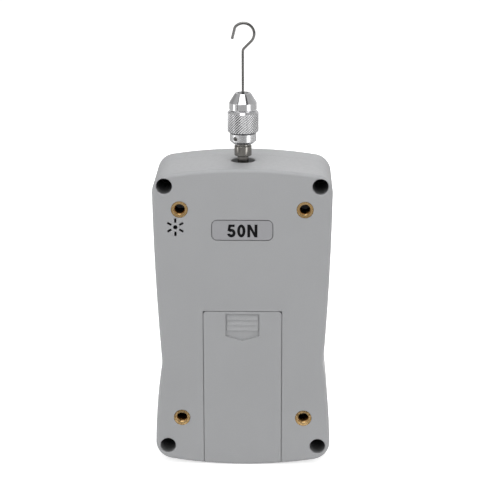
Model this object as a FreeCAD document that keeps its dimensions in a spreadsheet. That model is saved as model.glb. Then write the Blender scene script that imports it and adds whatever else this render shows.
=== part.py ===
"""Handheld digital force gauge with a collet chuck and a wire hook.

The gauge stands upright. The origin is the centre of the four stand inserts on
the back face. X runs to the right seen from behind, Y from the back to the
display side, and Z up along the measuring shaft. All lengths are millimetres.
"""
import FreeCAD, Part
import math
import os
import Sketcher
from types import SimpleNamespace

SIZES = {
    # Housing outline, seen from behind.
    "case_top": 61.0,
    "top_radius": 190.0,
    "bottom_radius": 180.0,
    "corner_radius": 7.5,
    "shoulder_half": 36.05,
    "shoulder_above_top": 4.6,
    "upper_side_radius": 1200.0,
    "hip_half": 35.95,
    "hip_above_bottom": 6.1,
    "lower_side_radius": 250.0,
    "waist_radius": 12.0,
    # Housing depth and walls.
    "case_depth": 38.5,
    "front_depth": 13.5,
    "wall": 2.0,
    "back_edge_radius": 1.4,
    "front_edge_radius": 2.5,
    "lip_height": 1.2,
    "lip_thickness": 0.9,
    "lip_clearance": 0.1,
    # Case screws in deep bores.
    "screw_inset": 5.0,
    "screw_below_top": 7.1,
    "screw_above_bottom": 8.5,
    "bore_radius": 3.2,
    "bore_floor": 6.0,
    "bore_chamfer": 0.3,
    "screw_boss_wall": 1.6,
    "screw_radius": 1.45,
    "screw_length": 12.0,
    "screw_head_radius": 2.7,
    "screw_head_height": 2.0,
    "screw_clearance": 0.1,
    "pilot_extra": 0.4,
    "front_boss_radius": 3.6,
    # Threaded stand inserts.
    "insert_half_width": 25.0,
    "insert_half_height": 44.5,
    "insert_radius": 3.4,
    "insert_length": 9.5,
    "insert_bore_radius": 2.1,
    "insert_countersink": 0.45,
    "insert_groove": 0.35,
    "insert_clearance": 0.02,
    "insert_boss_wall": 1.5,
    "rib_thickness": 1.2,
    "rib_height": 5.0,
    # Shaft hole, range label and buzzer grille.
    "axis_behind_front": 22.5,
    "shaft_hole_radius": 4.8,
    "shaft_hole_chamfer": 0.3,
    "label_height": 36.0,
    "label_width": 24.4,
    "label_tall": 8.3,
    "label_radius": 2.2,
    "label_thickness": 0.4,
    "label_recess": 0.5,
    "label_clearance": 0.2,
    "grille_outward": 1.7,
    "grille_below_insert": 7.35,
    "grille_dot_radius": 0.9,
    "grille_slot_width": 0.9,
    "grille_slot_inner": 1.8,
    "grille_slot_outer": 3.7,
    "grille_slots": 6,
    # Battery bay, cells and sliding cover.
    "door_overlap": 1.1,
    "door_top": 1.7,
    "door_corner_radius": 1.2,
    "door_thickness": 1.4,
    "door_gap": 0.25,
    "rail_depth": 1.3,
    "rail_reach": 1.5,
    "rail_clearance": 0.1,
    "bay_top": 3.6,
    "bay_side_gap": 0.4,
    "bay_floor_gap": 0.8,
    "bay_end_wall": 3.8,
    "bay_wall": 1.4,
    "cell_radius": 7.25,
    "cell_length": 49.3,
    "cell_nub_radius": 2.75,
    "cell_nub_height": 1.2,
    "cell_gap": 0.2,
    "contact_thickness": 0.5,
    "contact_gap": 0.1,
    "contact_split": 1.0,
    "contact_tab_half": 1.2,
    "contact_tab_end": 1.6,
    "battery_lead_radius": 0.5,
    "spring_room": 6.4,
    "spring_radius": 3.2,
    "spring_wire_radius": 0.4,
    "spring_turns": 3,
    "grip_half_width": 6.9,
    "grip_top": 1.05,
    "grip_side_height": 9.5,
    "grip_tip_height": 11.5,
    "grip_depth": 0.8,
    "grip_rib_sunk": 0.3,
    "grip_rib_inset": 0.6,
    "grip_first_ledge": 2.75,
    "grip_rib_pitch": 2.2,
    "grip_ribs": 3,
    # Load cell and the bracket that holds it.
    "beam_tall": 11.0,
    "beam_deep": 10.0,
    "beam_end_gap": 0.5,
    "beam_end_land": 3.5,
    "beam_screw_pitch": 6.0,
    "beam_screw_land": 2.3,
    "beam_hole_radius": 3.4,
    "beam_hole_spacing": 3.4,
    "beam_screw_radius": 1.5,
    "beam_screw_head_radius": 2.7,
    "beam_screw_head_height": 2.4,
    "bracket_side_gap": 2.05,
    "bracket_boss_gap": 0.58,
    "bracket_half_height": 9.0,
    "bracket_thickness": 2.5,
    "bracket_pad": 0.6,
    "bracket_corner_radius": 2.0,
    "bracket_screw_tip": 1.5,
    "bracket_post_inset": 3.0,
    "bracket_post_rise": 6.0,
    "bracket_post_radius": 3.0,
    "bracket_screw_radius": 1.3,
    "bracket_screw_head_radius": 2.5,
    "bracket_screw_head_height": 1.8,
    "stop_nut_gap": 0.5,
    "stop_gap": 0.5,
    "stop_thickness": 3.0,
    "stop_width": 2.0,
    "stop_reach": 5.0,
    "gauge_foil_thickness": 0.3,
    "gauge_foil_length": 3.0,
    "gauge_foil_width": 5.0,
    "cell_lead_radius": 1.0,
    "cell_lead_bend": 4.0,
    # Measuring shaft.
    "shaft_float": 0.35,
    "shaft_tail_radius": 2.0,
    "shaft_tail_clearance": 0.35,
    "shaft_tail_end": 1.0,
    "shaft_shoulder_radius": 3.9,
    "shaft_shoulder_height": 2.4,
    "shaft_neck_radius": 2.25,
    "shaft_head_radius": 3.5,
    "shaft_head_rise": 2.0,
    "shaft_head_height": 4.25,
    "shaft_head_chamfer": 0.25,
    "shaft_groove_radius": 3.05,
    "shaft_groove_height": 0.65,
    "shaft_stud_radius": 2.9,
    "shaft_stud_length": 7.0,
    "shaft_nut_width": 7.0,
    "shaft_nut_height": 3.2,
    # Collet chuck.
    "collar_foot_radius": 3.9,
    "collar_chamfer_height": 1.3,
    "collar_radius": 5.4,
    "collar_height": 4.4,
    "tommy_hole_radius": 0.9,
    "tommy_hole_rise": 2.7,
    "tommy_hole_turn": -33.0,
    "sleeve_radius": 6.3,
    "sleeve_height": 9.1,
    "sleeve_chamfer": 0.7,
    "stud_hole_clearance": 0.05,
    "stud_hole_extra": 0.3,
    "spigot_radius": 4.2,
    "spigot_height": 3.4,
    "nut_gap": 0.15,
    "nose_groove_height": 0.35,
    "nose_groove_depth": 0.6,
    "nose_radius": 5.55,
    "nose_straight_height": 3.0,
    "nose_cone_height": 3.8,
    "nose_top_radius": 3.2,
    "nose_edge_chamfer": 0.3,
    "nose_thread_clearance": 0.2,
    "nose_throat_radius": 2.2,
    "nose_throat_height": 1.0,
    "collet_radius": 2.0,
    "collet_clearance": 0.2,
    "collet_web": 0.6,
    "collet_head_radius": 2.6,
    "collet_slot_width": 0.45,
    "collet_slot_depth": 9.0,
    "collet_mouth_radius": 1.85,
    # Wire hook.
    "wire_radius": 0.55,
    "wire_clearance": 0.05,
    "wire_seat_depth": 8.0,
    "hook_bend_radius": 2.0,
    "hook_lean": 45.0,
    "hook_eye_shift": 0.25,
    "hook_eye_rise": 23.65,
    "hook_eye_radius": 4.25,
    "hook_open_rise": 2.85,
    "hook_tip_bend_radius": 1.2,
    "hook_tip_lean": 14.0,
    "hook_tip_drop": 2.0,
    # Display, board and keys on the front side.
    "window_below_top": 28.5,
    "window_width": 52.0,
    "window_tall": 34.0,
    "window_radius": 3.0,
    "window_thickness": 1.1,
    "window_clearance": 0.15,
    "view_width": 45.0,
    "view_tall": 26.0,
    "view_radius": 1.0,
    "board_side_gap": 4.55,
    "board_below_top": 13.0,
    "board_above_bottom": 15.6,
    "board_thickness": 1.6,
    "board_corner_radius": 2.0,
    "chip_left": -6.0,
    "chip_low": -14.0,
    "chip_width": 12.0,
    "chip_tall": 12.0,
    "chip_rise": 1.4,
    "driver_left": 10.0,
    "driver_low": -8.0,
    "driver_width": 6.0,
    "driver_tall": 8.0,
    "driver_rise": 1.6,
    "plug_low": 8.0,
    "plug_width": 9.0,
    "plug_tall": 5.0,
    "plug_rise": 4.5,
    "board_screw_inset": 3.0,
    "board_screw_up": 12.0,
    "board_screw_above_edge": 4.0,
    "board_post_radius": 2.4,
    "board_screw_radius": 1.1,
    "board_screw_length": 5.0,
    "board_screw_head_radius": 2.1,
    "board_screw_head_height": 1.4,
    "lcd_width": 49.0,
    "lcd_tall": 31.0,
    "lcd_thickness": 4.0,
    "lcd_gap": 0.8,
    "lcd_corner_radius": 1.0,
    "buzzer_inward": 2.7,
    "buzzer_radius": 4.8,
    "buzzer_height": 5.0,
    "buzzer_mouth_depth": 1.0,
    "key_width": 13.0,
    "key_tall": 8.5,
    "key_radius": 2.5,
    "key_clearance": 0.3,
    "key_proud": 1.0,
    "key_flange": 1.0,
    "key_flange_thickness": 1.0,
    "key_float": 0.3,
    "key_edge_radius": 0.5,
    "key_pitch_across": 19.0,
    "key_row_height": -3.0,
    "key_row_drop": 19.0,
    "switch_half": 3.0,
    "switch_body_height": 2.0,
    "switch_stem_radius": 1.6,
    "switch_gap": 0.7,
}


class Size:
    """A length: its value now, and the sheet formula that it is bound by."""

    def __init__(self, value, formula):
        self.value = value
        self.formula = formula

    def __float__(self):
        return self.value

    def __neg__(self):
        return Size(-self.value, f"(-{self.formula})")

    def __add__(self, other):
        other = as_size(other)
        return Size(self.value + other.value, f"({self.formula} + {other.formula})")

    def __sub__(self, other):
        other = as_size(other)
        return Size(self.value - other.value, f"({self.formula} - {other.formula})")

    def __mul__(self, other):
        other = as_size(other)
        return Size(self.value * other.value, f"({self.formula} * {other.formula})")

    def __truediv__(self, other):
        other = as_size(other)
        return Size(self.value / other.value, f"({self.formula} / {other.formula})")


def as_size(item):
    """Let a plain number stand where a size is expected."""
    if isinstance(item, Size):
        return item
    return Size(float(item), f"({float(item)})")


doc = FreeCAD.newDocument("ForceGauge")
sheet = doc.addObject("Spreadsheet::Sheet", "Sizes")
for row, (alias, number) in enumerate(SIZES.items(), start=1):
    sheet.set(f"A{row}", alias)
    sheet.set(f"B{row}", str(number))
    sheet.setAlias(f"B{row}", alias)
doc.recompute()
s = SimpleNamespace(**{alias: Size(number, f"Sizes.{alias}") for alias, number in SIZES.items()})

BOTH = (-1, 1)
nodes = []

# The housing is as long below as its battery cells and their springs need.
bay_bottom = (s.bay_top + (s.contact_gap + s.contact_thickness) * 2 + s.contact_gap
              + s.cell_nub_height + s.cell_length + s.spring_room)
case_bottom = bay_bottom + s.bay_end_wall
shoulder_height = s.case_top + s.shoulder_above_top
hip_height = s.hip_above_bottom - case_bottom


def bind(target, path, size):
    """Drive one property of an object from the sheet."""
    target.setExpression(path, as_size(size).formula)


def keep(target, label):
    """Give a finished sub-part its name and list it for export."""
    target.Label = label
    nodes.append(target)
    return target


def new_body(name):
    return doc.addObject("PartDesign::Body", name)


def place(target, x=0.0, y=0.0, z=0.0, turn=0.0):
    """Set a sub-part down, turned about the vertical."""
    spot = FreeCAD.Vector(float(x), float(y), float(z))
    spin = FreeCAD.Rotation(FreeCAD.Vector(0, 0, 1), float(turn))
    target.Placement = FreeCAD.Placement(spot, spin)
    bind(target, "Placement.Base.x", x)
    bind(target, "Placement.Base.y", y)
    bind(target, "Placement.Base.z", z)
    return target


# Sketches ------------------------------------------------------------------

def sketch_on(body, role, offset=0.0, across=0.0, up=0.0):
    """Start a sketch on one of the body's own planes, shifted along its normal."""
    plane = [item for item in body.Origin.OriginFeatures if item.Role == role][0]
    sketch = body.newObject("Sketcher::SketchObject", body.Name + "_sketch")
    sketch.AttachmentSupport = [(plane, "")]
    sketch.MapMode = "FlatFace"
    for axis, size in zip("xyz", (across, up, offset)):
        bind(sketch, f"AttachmentOffset.Base.{axis}", size)
    return sketch


def rule(sketch, size, *definition):
    """Add one dimension to a sketch and bind it to the sheet."""
    number = sketch.addConstraint(Sketcher.Constraint(*definition, float(size)))
    bind(sketch, f"Constraints[{number}]", size)


def pin(sketch, element, vertex, x, y):
    """Fix a point of a sketch by its distances from the sketch origin."""
    for kind, axis, size in (("DistanceX", -2, x), ("DistanceY", -1, y)):
        if isinstance(size, Size):
            rule(sketch, size, kind, -1, 1, element, vertex)
        elif size == 0:
            sketch.addConstraint(Sketcher.Constraint("PointOnObject", element, vertex, axis))
        else:
            sketch.addConstraint(Sketcher.Constraint(kind, -1, 1, element, vertex, float(size)))


def circle(sketch, x, y, radius):
    ring = Part.Circle(FreeCAD.Vector(float(x), float(y), 0), FreeCAD.Vector(0, 0, 1), float(radius))
    element = sketch.addGeometry(ring, False)
    rule(sketch, radius, "Radius", element)
    pin(sketch, element, 3, x, y)


def polygon(sketch, points):
    """Closed outline through points given as pairs of sizes."""
    spots = [FreeCAD.Vector(float(x), float(y), 0) for x, y in points]
    elements = []
    for start, end in zip(spots, spots[1:] + spots[:1]):
        elements.append(sketch.addGeometry(Part.LineSegment(start, end), False))
    for index, element in enumerate(elements):
        sketch.addConstraint(Sketcher.Constraint("Coincident", elements[index - 1], 2, element, 1))
        pin(sketch, element, 1, *points[index])


def box(sketch, left, right, low, high):
    polygon(sketch, [(left, low), (right, low), (right, high), (left, high)])


def arc(sketch, x, y, radius, start, end):
    """Arc drawn anticlockwise between two angles in radians."""
    ring = Part.Circle(FreeCAD.Vector(x, y, 0), FreeCAD.Vector(0, 0, 1), radius)
    return sketch.addGeometry(Part.ArcOfCircle(ring, start, end), False)


def rounded_box(sketch, x, y, width, tall, radius):
    """Rectangle with four round corners, given by its middle."""
    half_width = width / 2 - radius
    half_tall = tall / 2 - radius
    corners = [(1, 1), (-1, 1), (-1, -1), (1, -1)]
    arcs = []
    lines = []
    middles = []
    for index, (side, rise) in enumerate(corners):
        middle = (half_width * side + x, half_tall * rise + y)
        start = index * math.pi / 2
        end = start + math.pi / 2
        arcs.append(arc(sketch, float(middle[0]), float(middle[1]), float(radius), start, end))
        middles.append(middle)
    for index in range(4):
        tail = sketch.Geometry[arcs[index]].EndPoint
        head = sketch.Geometry[arcs[(index + 1) % 4]].StartPoint
        lines.append(sketch.addGeometry(Part.LineSegment(tail, head), False))
    for index in range(4):
        following = arcs[(index + 1) % 4]
        sketch.addConstraint(Sketcher.Constraint("Tangent", arcs[index], 2, lines[index], 1))
        sketch.addConstraint(Sketcher.Constraint("Tangent", lines[index], 2, following, 1))
        direction = "Horizontal" if index % 2 == 0 else "Vertical"
        sketch.addConstraint(Sketcher.Constraint(direction, lines[index]))
    for index in (1, 2, 3):
        sketch.addConstraint(Sketcher.Constraint("Equal", arcs[0], arcs[index]))
    rule(sketch, radius, "Radius", arcs[0])
    pin(sketch, arcs[0], 3, *middles[0])
    pin(sketch, arcs[2], 3, *middles[2])


def meeting(first, first_radius, second, second_radius, near):
    """The crossing of two circles that lies nearer to a given point."""
    gap = second - first
    along = (first_radius ** 2 - second_radius ** 2 + gap.Length ** 2) / (2 * gap.Length)
    aside = math.sqrt(first_radius ** 2 - along ** 2)
    step = FreeCAD.Vector(gap).normalize()
    across = FreeCAD.Vector(-step.y, step.x, 0)
    crossings = [first + step * along + across * aside * side for side in BOTH]
    return min(crossings, key=lambda spot: (spot - near).Length)


def case_outline(sketch, inset):
    """The housing outline drawn inwards by a distance, all in tangent arcs.

    A crowned top and bottom, long bowed sides that meet at a soft waist, and
    four round corners. The waist arcs curve the other way from the rest.
    """
    inset = as_size(inset)
    top = FreeCAD.Vector(0, float(s.case_top - s.top_radius), 0)
    bottom = FreeCAD.Vector(0, float(s.bottom_radius - case_bottom), 0)
    shoulder = FreeCAD.Vector(float(s.shoulder_half - s.upper_side_radius), float(shoulder_height), 0)
    hip = FreeCAD.Vector(float(s.hip_half - s.lower_side_radius), float(hip_height), 0)
    corner = float(s.corner_radius)
    waist = float(s.waist_radius)
    top_corner = meeting(top, float(s.top_radius) - corner, shoulder,
                         float(s.upper_side_radius) - corner,
                         FreeCAD.Vector(float(s.shoulder_half), float(s.case_top), 0))
    bottom_corner = meeting(bottom, float(s.bottom_radius) - corner, hip,
                            float(s.lower_side_radius) - corner,
                            FreeCAD.Vector(float(s.hip_half), float(-case_bottom), 0))
    waist_spot = meeting(hip, float(s.lower_side_radius) + waist, shoulder,
                         float(s.upper_side_radius) + waist,
                         FreeCAD.Vector(float(s.hip_half) + waist, 0, 0))
    right = [
        (bottom_corner, s.corner_radius, False),
        (hip, s.lower_side_radius, False),
        (waist_spot, s.waist_radius, True),
        (shoulder, s.upper_side_radius, False),
        (top_corner, s.corner_radius, False),
    ]
    left = [(FreeCAD.Vector(-spot.x, spot.y, 0), size, hollow) for spot, size, hollow in reversed(right)]
    ring = [(bottom, s.bottom_radius, False)] + right + [(top, s.top_radius, False)] + left
    joints = []
    for index, (spot, size, hollow) in enumerate(ring):
        other, other_size, other_hollow = ring[(index + 1) % len(ring)]
        towards = (other - spot).normalize()
        if hollow or other_hollow or float(size) < float(other_size):
            sign = 1 if (hollow or other_hollow) else -1
            joints.append(spot + towards * sign * float(size))
        else:
            joints.append(spot + towards * float(size))
    elements = []
    for index, (spot, size, hollow) in enumerate(ring):
        drawn = size + inset if hollow else size - inset
        before = joints[index - 1] - spot
        after = joints[index] - spot
        start = math.atan2(before.y, before.x)
        end = math.atan2(after.y, after.x)
        if hollow:
            start, end = end, start
        if end < start:
            end += 2 * math.pi
        element = arc(sketch, spot.x, spot.y, float(drawn), start, end)
        rule(sketch, drawn, "Radius", element)
        elements.append((element, 2 if hollow else 1, 1 if hollow else 2))
    for index, (element, entry, leave) in enumerate(elements):
        following, following_entry, _ = elements[(index + 1) % len(elements)]
        sketch.addConstraint(Sketcher.Constraint("Tangent", element, leave, following, following_entry))
    pin(sketch, elements[0][0], 3, 0, s.bottom_radius - case_bottom)
    pin(sketch, elements[6][0], 3, 0, s.case_top - s.top_radius)
    for side, lower, upper in ((1, 2, 4), (-1, 10, 8)):
        pin(sketch, elements[lower][0], 3, (s.hip_half - s.lower_side_radius) * side, hip_height)
        pin(sketch, elements[upper][0], 3, (s.shoulder_half - s.upper_side_radius) * side, shoulder_height)


# Features ------------------------------------------------------------------

def extrude(body, kind, draw, start, end, upward=False):
    """Pad or pocket a drawing from one level to another.

    The levels are depths behind the back face, or heights where upward is set.
    """
    start = as_size(start)
    if upward:
        sketch = sketch_on(body, "XY_Plane", offset=start)
    else:
        sketch = sketch_on(body, "XZ_Plane", offset=-start)
    draw(sketch)
    feature = body.newObject(f"PartDesign::{kind}", f"{body.Name}_{kind}")
    feature.Profile = sketch
    bind(feature, "Length", as_size(end) - start)
    feature.Reversed = (kind == "Pad") != upward
    doc.recompute()
    before = feature.BaseFeature.Shape.Volume if feature.BaseFeature else 0.0
    if (feature.Shape.Volume > before) != (kind == "Pad"):
        raise RuntimeError(f"{feature.Name} changes nothing")
    return feature


def pad(body, draw, start, end, upward=False):
    return extrude(body, "Pad", draw, start, end, upward)


def pocket(body, draw, start, end, upward=False):
    return extrude(body, "Pocket", draw, start, end, upward)


def turn_profile(name, role, points):
    """Body turned about the upright axis of its sketch from (radius, height) points."""
    body = new_body(name)
    sketch = sketch_on(body, role)
    polygon(sketch, points)
    lathe = body.newObject("PartDesign::Revolution", name + "_turned")
    lathe.Profile = sketch
    lathe.ReferenceAxis = (sketch, ["V_Axis"])
    lathe.Angle = 360
    doc.recompute()
    return body


def dress(body, kind, feature, chosen, size):
    """Fillet or chamfer the edges of the last feature that a test picks."""
    names = [f"Edge{index + 1}" for index, edge in enumerate(feature.Shape.Edges) if chosen(edge)]
    finish = body.newObject(f"PartDesign::{kind}", f"{body.Name}_{kind}")
    finish.Base = (feature, names)
    bind(finish, "Radius" if kind == "Fillet" else "Size", size)
    doc.recompute()
    return finish


def repeat_around(body, feature, axis, count):
    """Repeat a feature evenly round an axis."""
    ring = body.newObject("PartDesign::PolarPattern", body.Name + "_ring")
    ring.Originals = [feature]
    ring.Axis = axis
    ring.Angle = 360
    bind(ring, "Occurrences", count)
    body.Tip = ring
    doc.recompute()
    return ring


def group(label, members):
    """Like pieces that share one node."""
    doc.recompute()
    bundle = doc.addObject("Part::Compound", label)
    bundle.Links = members
    return keep(bundle, label)


def at_depth(depth):
    """Test for edges that lie in the plane at a depth behind the back face."""
    return lambda edge: all(abs(spot.Y - float(depth)) < 1e-4 for spot in edge.Vertexes)


def four(half_width, upper, lower):
    """The four places of a symmetrical pattern, as (across, height) sizes."""
    return [(half_width * side, height) for height in (upper, lower) for side in BOTH]


# Housing -------------------------------------------------------------------

# Depths, from the back face towards the display side.
rear_depth = s.case_depth - s.front_depth
bore_depth = rear_depth - s.bore_floor
axis_depth = s.case_depth - s.axis_behind_front
lip_inset = s.wall - s.lip_thickness
lip_end = rear_depth + s.lip_height
door_inner = s.door_thickness + s.rail_depth
bay_floor = door_inner + s.cell_gap + s.cell_radius * 2 + s.bay_floor_gap
beam_rear = axis_depth - s.beam_deep / 2
beam_front = beam_rear + s.beam_deep
bracket_front = beam_rear - s.bracket_pad
bracket_rear = bracket_front - s.bracket_thickness
bracket_screw_end = s.wall + s.bracket_screw_tip
case_inner_front = s.case_depth - s.wall
board_front = case_inner_front - s.lcd_gap - s.lcd_thickness
board_back = board_front - s.board_thickness

# Half widths, and clearance holes.
cell_side = s.cell_radius + s.cell_gap / 2
bay_half = cell_side + s.cell_radius + s.bay_side_gap
door_half = bay_half + s.door_overlap
groove_half = door_half + s.rail_reach
bracket_half = s.shoulder_half - s.wall - s.bracket_side_gap
board_half = s.shoulder_half - s.wall - s.board_side_gap
screw_hole = s.screw_radius + s.screw_clearance
insert_hole = s.insert_radius + s.insert_clearance
bracket_hole = s.bracket_screw_radius + s.screw_clearance
board_hole = s.board_screw_radius + s.screw_clearance
boss_radius = insert_hole + s.insert_boss_wall

# Heights, from the middle of the stand inserts up along the shaft.
beam_height = s.insert_half_height - boss_radius - s.bracket_boss_gap - s.bracket_half_height
board_top = s.case_top - s.board_below_top
board_bottom = s.board_above_bottom - case_bottom
window_height = s.case_top - s.window_below_top
contact_top = -s.bay_top - s.contact_gap - s.contact_thickness

# Patterns of screws and inserts.
SCREW_PLACES = [((half - s.screw_inset) * side, height) for half, height in (
    (s.shoulder_half, s.case_top - s.screw_below_top),
    (s.hip_half, s.screw_above_bottom - case_bottom)) for side in BOTH]
INSERT_PLACES = four(s.insert_half_width, s.insert_half_height, -s.insert_half_height)
POST_PLACES = four(bracket_half - s.bracket_post_inset, beam_height + s.bracket_post_rise,
                   beam_height - s.bracket_post_rise)
BOARD_POST_PLACES = four(board_half - s.board_screw_inset, s.board_screw_up,
                         board_bottom + s.board_screw_above_edge)
GRILLE_PLACE = (-s.insert_half_width - s.grille_outward, s.insert_half_height - s.grille_below_insert)


def circles(places, radius):
    """Drawing of equal circles."""
    def draw(sketch):
        for x, y in places:
            circle(sketch, x, y, radius)
    return draw


def outline(inset):
    """Drawing of the housing outline."""
    return lambda sketch: case_outline(sketch, inset)


def rectangle(left, right, low, high):
    """Drawing of a rectangle."""
    return lambda sketch: box(sketch, left, right, low, high)


def panel(x, y, width, tall, radius):
    """Drawing of a rectangle with round corners."""
    return lambda sketch: rounded_box(sketch, as_size(x), as_size(y), width, tall, radius)


def rear_envelope(name):
    """Solid form of the back shell with its rounded back edge."""
    body = new_body(name)
    block = pad(body, outline(0), 0, rear_depth)
    dress(body, "Fillet", block, at_depth(0), s.back_edge_radius)
    return body


def rear_case():
    """Deep moulded back shell: screw bores, insert bosses, battery bay and door rails."""
    blank = rear_envelope("rear_blank")
    pad(blank, outline(lip_inset), rear_depth, lip_end)
    bores = pocket(blank, circles(SCREW_PLACES, s.bore_radius), 0, bore_depth)
    dress(blank, "Chamfer", bores, bore_rim, s.bore_chamfer)
    pocket(blank, circles(SCREW_PLACES, screw_hole), bore_depth, lip_end + 1)
    pocket(blank, circles(INSERT_PLACES, insert_hole), 0, s.insert_length)
    pocket(blank, circles(POST_PLACES, bracket_hole), bracket_screw_end - s.pilot_extra, bracket_rear + 1)
    label_room = s.label_clearance * 2
    pocket(blank, panel(0, s.label_height, s.label_width + label_room, s.label_tall + label_room,
                        s.label_radius + s.label_clearance), 0, s.label_recess)
    sound_grille(blank)
    door_opening(blank)
    shaft_hole(blank)
    case = doc.addObject("Part::Cut", "rear_case")
    case.Base = blank
    case.Tool = rear_core()
    return keep(case, "rear_case")


def bore_rim(edge):
    """Test for the outer edge of a screw bore."""
    round_edge = isinstance(edge.Curve, Part.Circle) and abs(edge.Curve.Radius - float(s.bore_radius)) < 1e-6
    return round_edge and edge.Curve.Center.y < float(s.back_edge_radius) / 2


def sound_grille(blank):
    """A dot and six short slots set like rays, through the back wall."""
    pocket(blank, circles([GRILLE_PLACE], s.grille_dot_radius), 0, s.wall + 1)
    sketch = sketch_on(blank, "XZ_Plane", across=GRILLE_PLACE[0], up=GRILLE_PLACE[1])
    half = s.grille_slot_width / 2
    box(sketch, -half, half, s.grille_slot_inner, s.grille_slot_outer)
    ray = blank.newObject("PartDesign::Pocket", "grille_ray")
    ray.Profile = sketch
    bind(ray, "Length", s.wall + 1)
    doc.recompute()
    repeat_around(blank, ray, (sketch, ["N_Axis"]), s.grille_slots)


def door_opening(blank):
    """Opening of the battery door, the grooves its rails run in, and the bay behind."""
    below = -case_bottom - 1
    above = s.door_top + s.door_gap
    pocket(blank, rectangle(-door_half, door_half, below, above), 0, s.door_thickness)
    pocket(blank, rectangle(-groove_half, groove_half, below, above), s.door_thickness, door_inner)
    bay = rectangle(-bay_half, bay_half, -bay_bottom, -s.bay_top)
    pocket(blank, bay, door_inner, bay_floor)
    for side in BOTH:
        slot = contact_tab(side, s.contact_gap)
        pocket(blank, slot, bay_floor, bay_floor + s.bay_wall + 1)


def contact_tab(side, margin=0):
    """Drawing of the tab of one upper contact, or of its slot with a margin."""
    middle = cell_side * side
    half = s.contact_tab_half + margin
    return rectangle(middle - half, middle + half, contact_top - margin,
                     contact_top + s.contact_thickness + margin)


def shaft_hole(blank):
    """Round hole for the measuring shaft in the top, with a chamfered rim."""
    drawing = circles([(as_size(0), axis_depth)], s.shaft_hole_radius)
    hole = pocket(blank, drawing, s.case_top - s.wall * 2, s.case_top + s.wall, upward=True)
    dress(blank, "Chamfer", hole, shaft_rim, s.shaft_hole_chamfer)


def shaft_rim(edge):
    """Test for the edge where the shaft hole meets the crowned top."""
    spots = edge.discretize(5)
    reach = [math.hypot(spot.x, spot.y - float(axis_depth)) for spot in spots]
    on_hole = all(abs(distance - float(s.shaft_hole_radius)) < 1e-4 for distance in reach)
    on_top = min(spot.z for spot in spots) > float(s.case_top - s.wall)
    level = max(spot.z for spot in spots) - min(spot.z for spot in spots)
    return on_hole and on_top and level < 1


def rear_core():
    """The space inside the back shell. What is pocketed out of it stays as bosses, ribs and walls."""
    core = new_body("rear_core")
    pad(core, outline(s.wall), s.wall, lip_end + 1)
    pocket(core, circles(SCREW_PLACES, s.bore_radius + s.screw_boss_wall), s.wall, lip_end)
    pocket(core, circles(INSERT_PLACES, boss_radius), s.wall, s.insert_length + s.wall)
    half_rib = s.rib_thickness / 2
    for x, z in INSERT_PLACES:
        left, right = (x, s.shoulder_half) if float(x) > 0 else (-s.shoulder_half, x)
        pocket(core, rectangle(left, right, z - half_rib, z + half_rib), s.wall, s.wall + s.rib_height)
    pocket(core, circles(POST_PLACES, s.bracket_post_radius), s.wall, bracket_rear)
    block_half = groove_half + s.bay_wall
    block_top = s.door_top + s.door_gap + s.bay_wall
    bay_block = rectangle(-block_half, block_half, -case_bottom - 1, block_top)
    pocket(core, bay_block, s.wall, bay_floor + s.bay_wall)
    return core


def front_case():
    """Shallow front shell: display opening, key holes, screw bosses and board posts."""
    blank = new_body("front_blank")
    block = pad(blank, outline(0), rear_depth, s.case_depth)
    dress(blank, "Fillet", block, at_depth(s.case_depth), s.front_edge_radius)
    beyond = s.case_depth + 1
    window_room = s.window_clearance * 2
    pocket(blank, panel(0, window_height, s.window_width + window_room, s.window_tall + window_room,
                        s.window_radius + s.window_clearance), s.case_depth - s.window_thickness, beyond)
    view = panel(0, window_height, s.view_width, s.view_tall, s.view_radius)
    pocket(blank, view, case_inner_front - 1, beyond)
    key_wide = s.key_width + s.key_clearance * 2
    key_high = s.key_tall + s.key_clearance * 2
    for x, z in KEYS.values():
        hole = panel(x, z, key_wide, key_high, s.key_radius + s.key_clearance)
        pocket(blank, hole, case_inner_front - 1, beyond)
    screw_tip = bore_depth + s.screw_length + s.pilot_extra
    pocket(blank, circles(SCREW_PLACES, screw_hole), rear_depth, screw_tip)
    board_screw_tip = board_back + s.board_screw_length + s.pilot_extra
    pocket(blank, circles(BOARD_POST_PLACES, board_hole), board_front, board_screw_tip)
    case = doc.addObject("Part::Cut", "front_case")
    case.Base = blank
    case.Tool = front_core()
    return keep(case, "front_case")


def front_core():
    """The space inside the front shell, wider where the back shell's lip enters."""
    core = new_body("front_core")
    lip_room = lip_end + s.lip_clearance
    pad(core, outline(s.wall), lip_room, case_inner_front)
    pocket(core, circles(SCREW_PLACES, s.front_boss_radius), lip_room, case_inner_front)
    pocket(core, circles(BOARD_POST_PLACES, s.board_post_radius), board_front, case_inner_front)
    pad(core, outline(lip_inset - s.lip_clearance), rear_depth - 1, lip_room)
    return core


def battery_cover():
    """Sliding door cut to the housing's own outline, with side rails and a ribbed thumb grip."""
    block = new_body("cover_block")
    half = door_half - s.door_gap
    rail_half = groove_half - s.door_gap
    below = -case_bottom - 1
    step = s.door_thickness + s.rail_clearance
    plate = pad(block, rectangle(-half, half, below, s.door_top), 0, step)
    dress(block, "Fillet", plate, top_corner, s.door_corner_radius)
    pad(block, rectangle(-rail_half, rail_half, below, s.door_top), step, door_inner - s.rail_clearance)
    thumb_grip(block)
    cover = doc.addObject("Part::Common", "battery_cover")
    cover.Base = block
    cover.Tool = rear_envelope("cover_trim")
    return keep(cover, "battery_cover")


def top_corner(edge):
    """Test for the two upper corner edges of the door plate."""
    runs_inward = abs(edge.BoundBox.YLength - edge.Length) < 1e-4
    return runs_inward and edge.BoundBox.ZMin > 0


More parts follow.
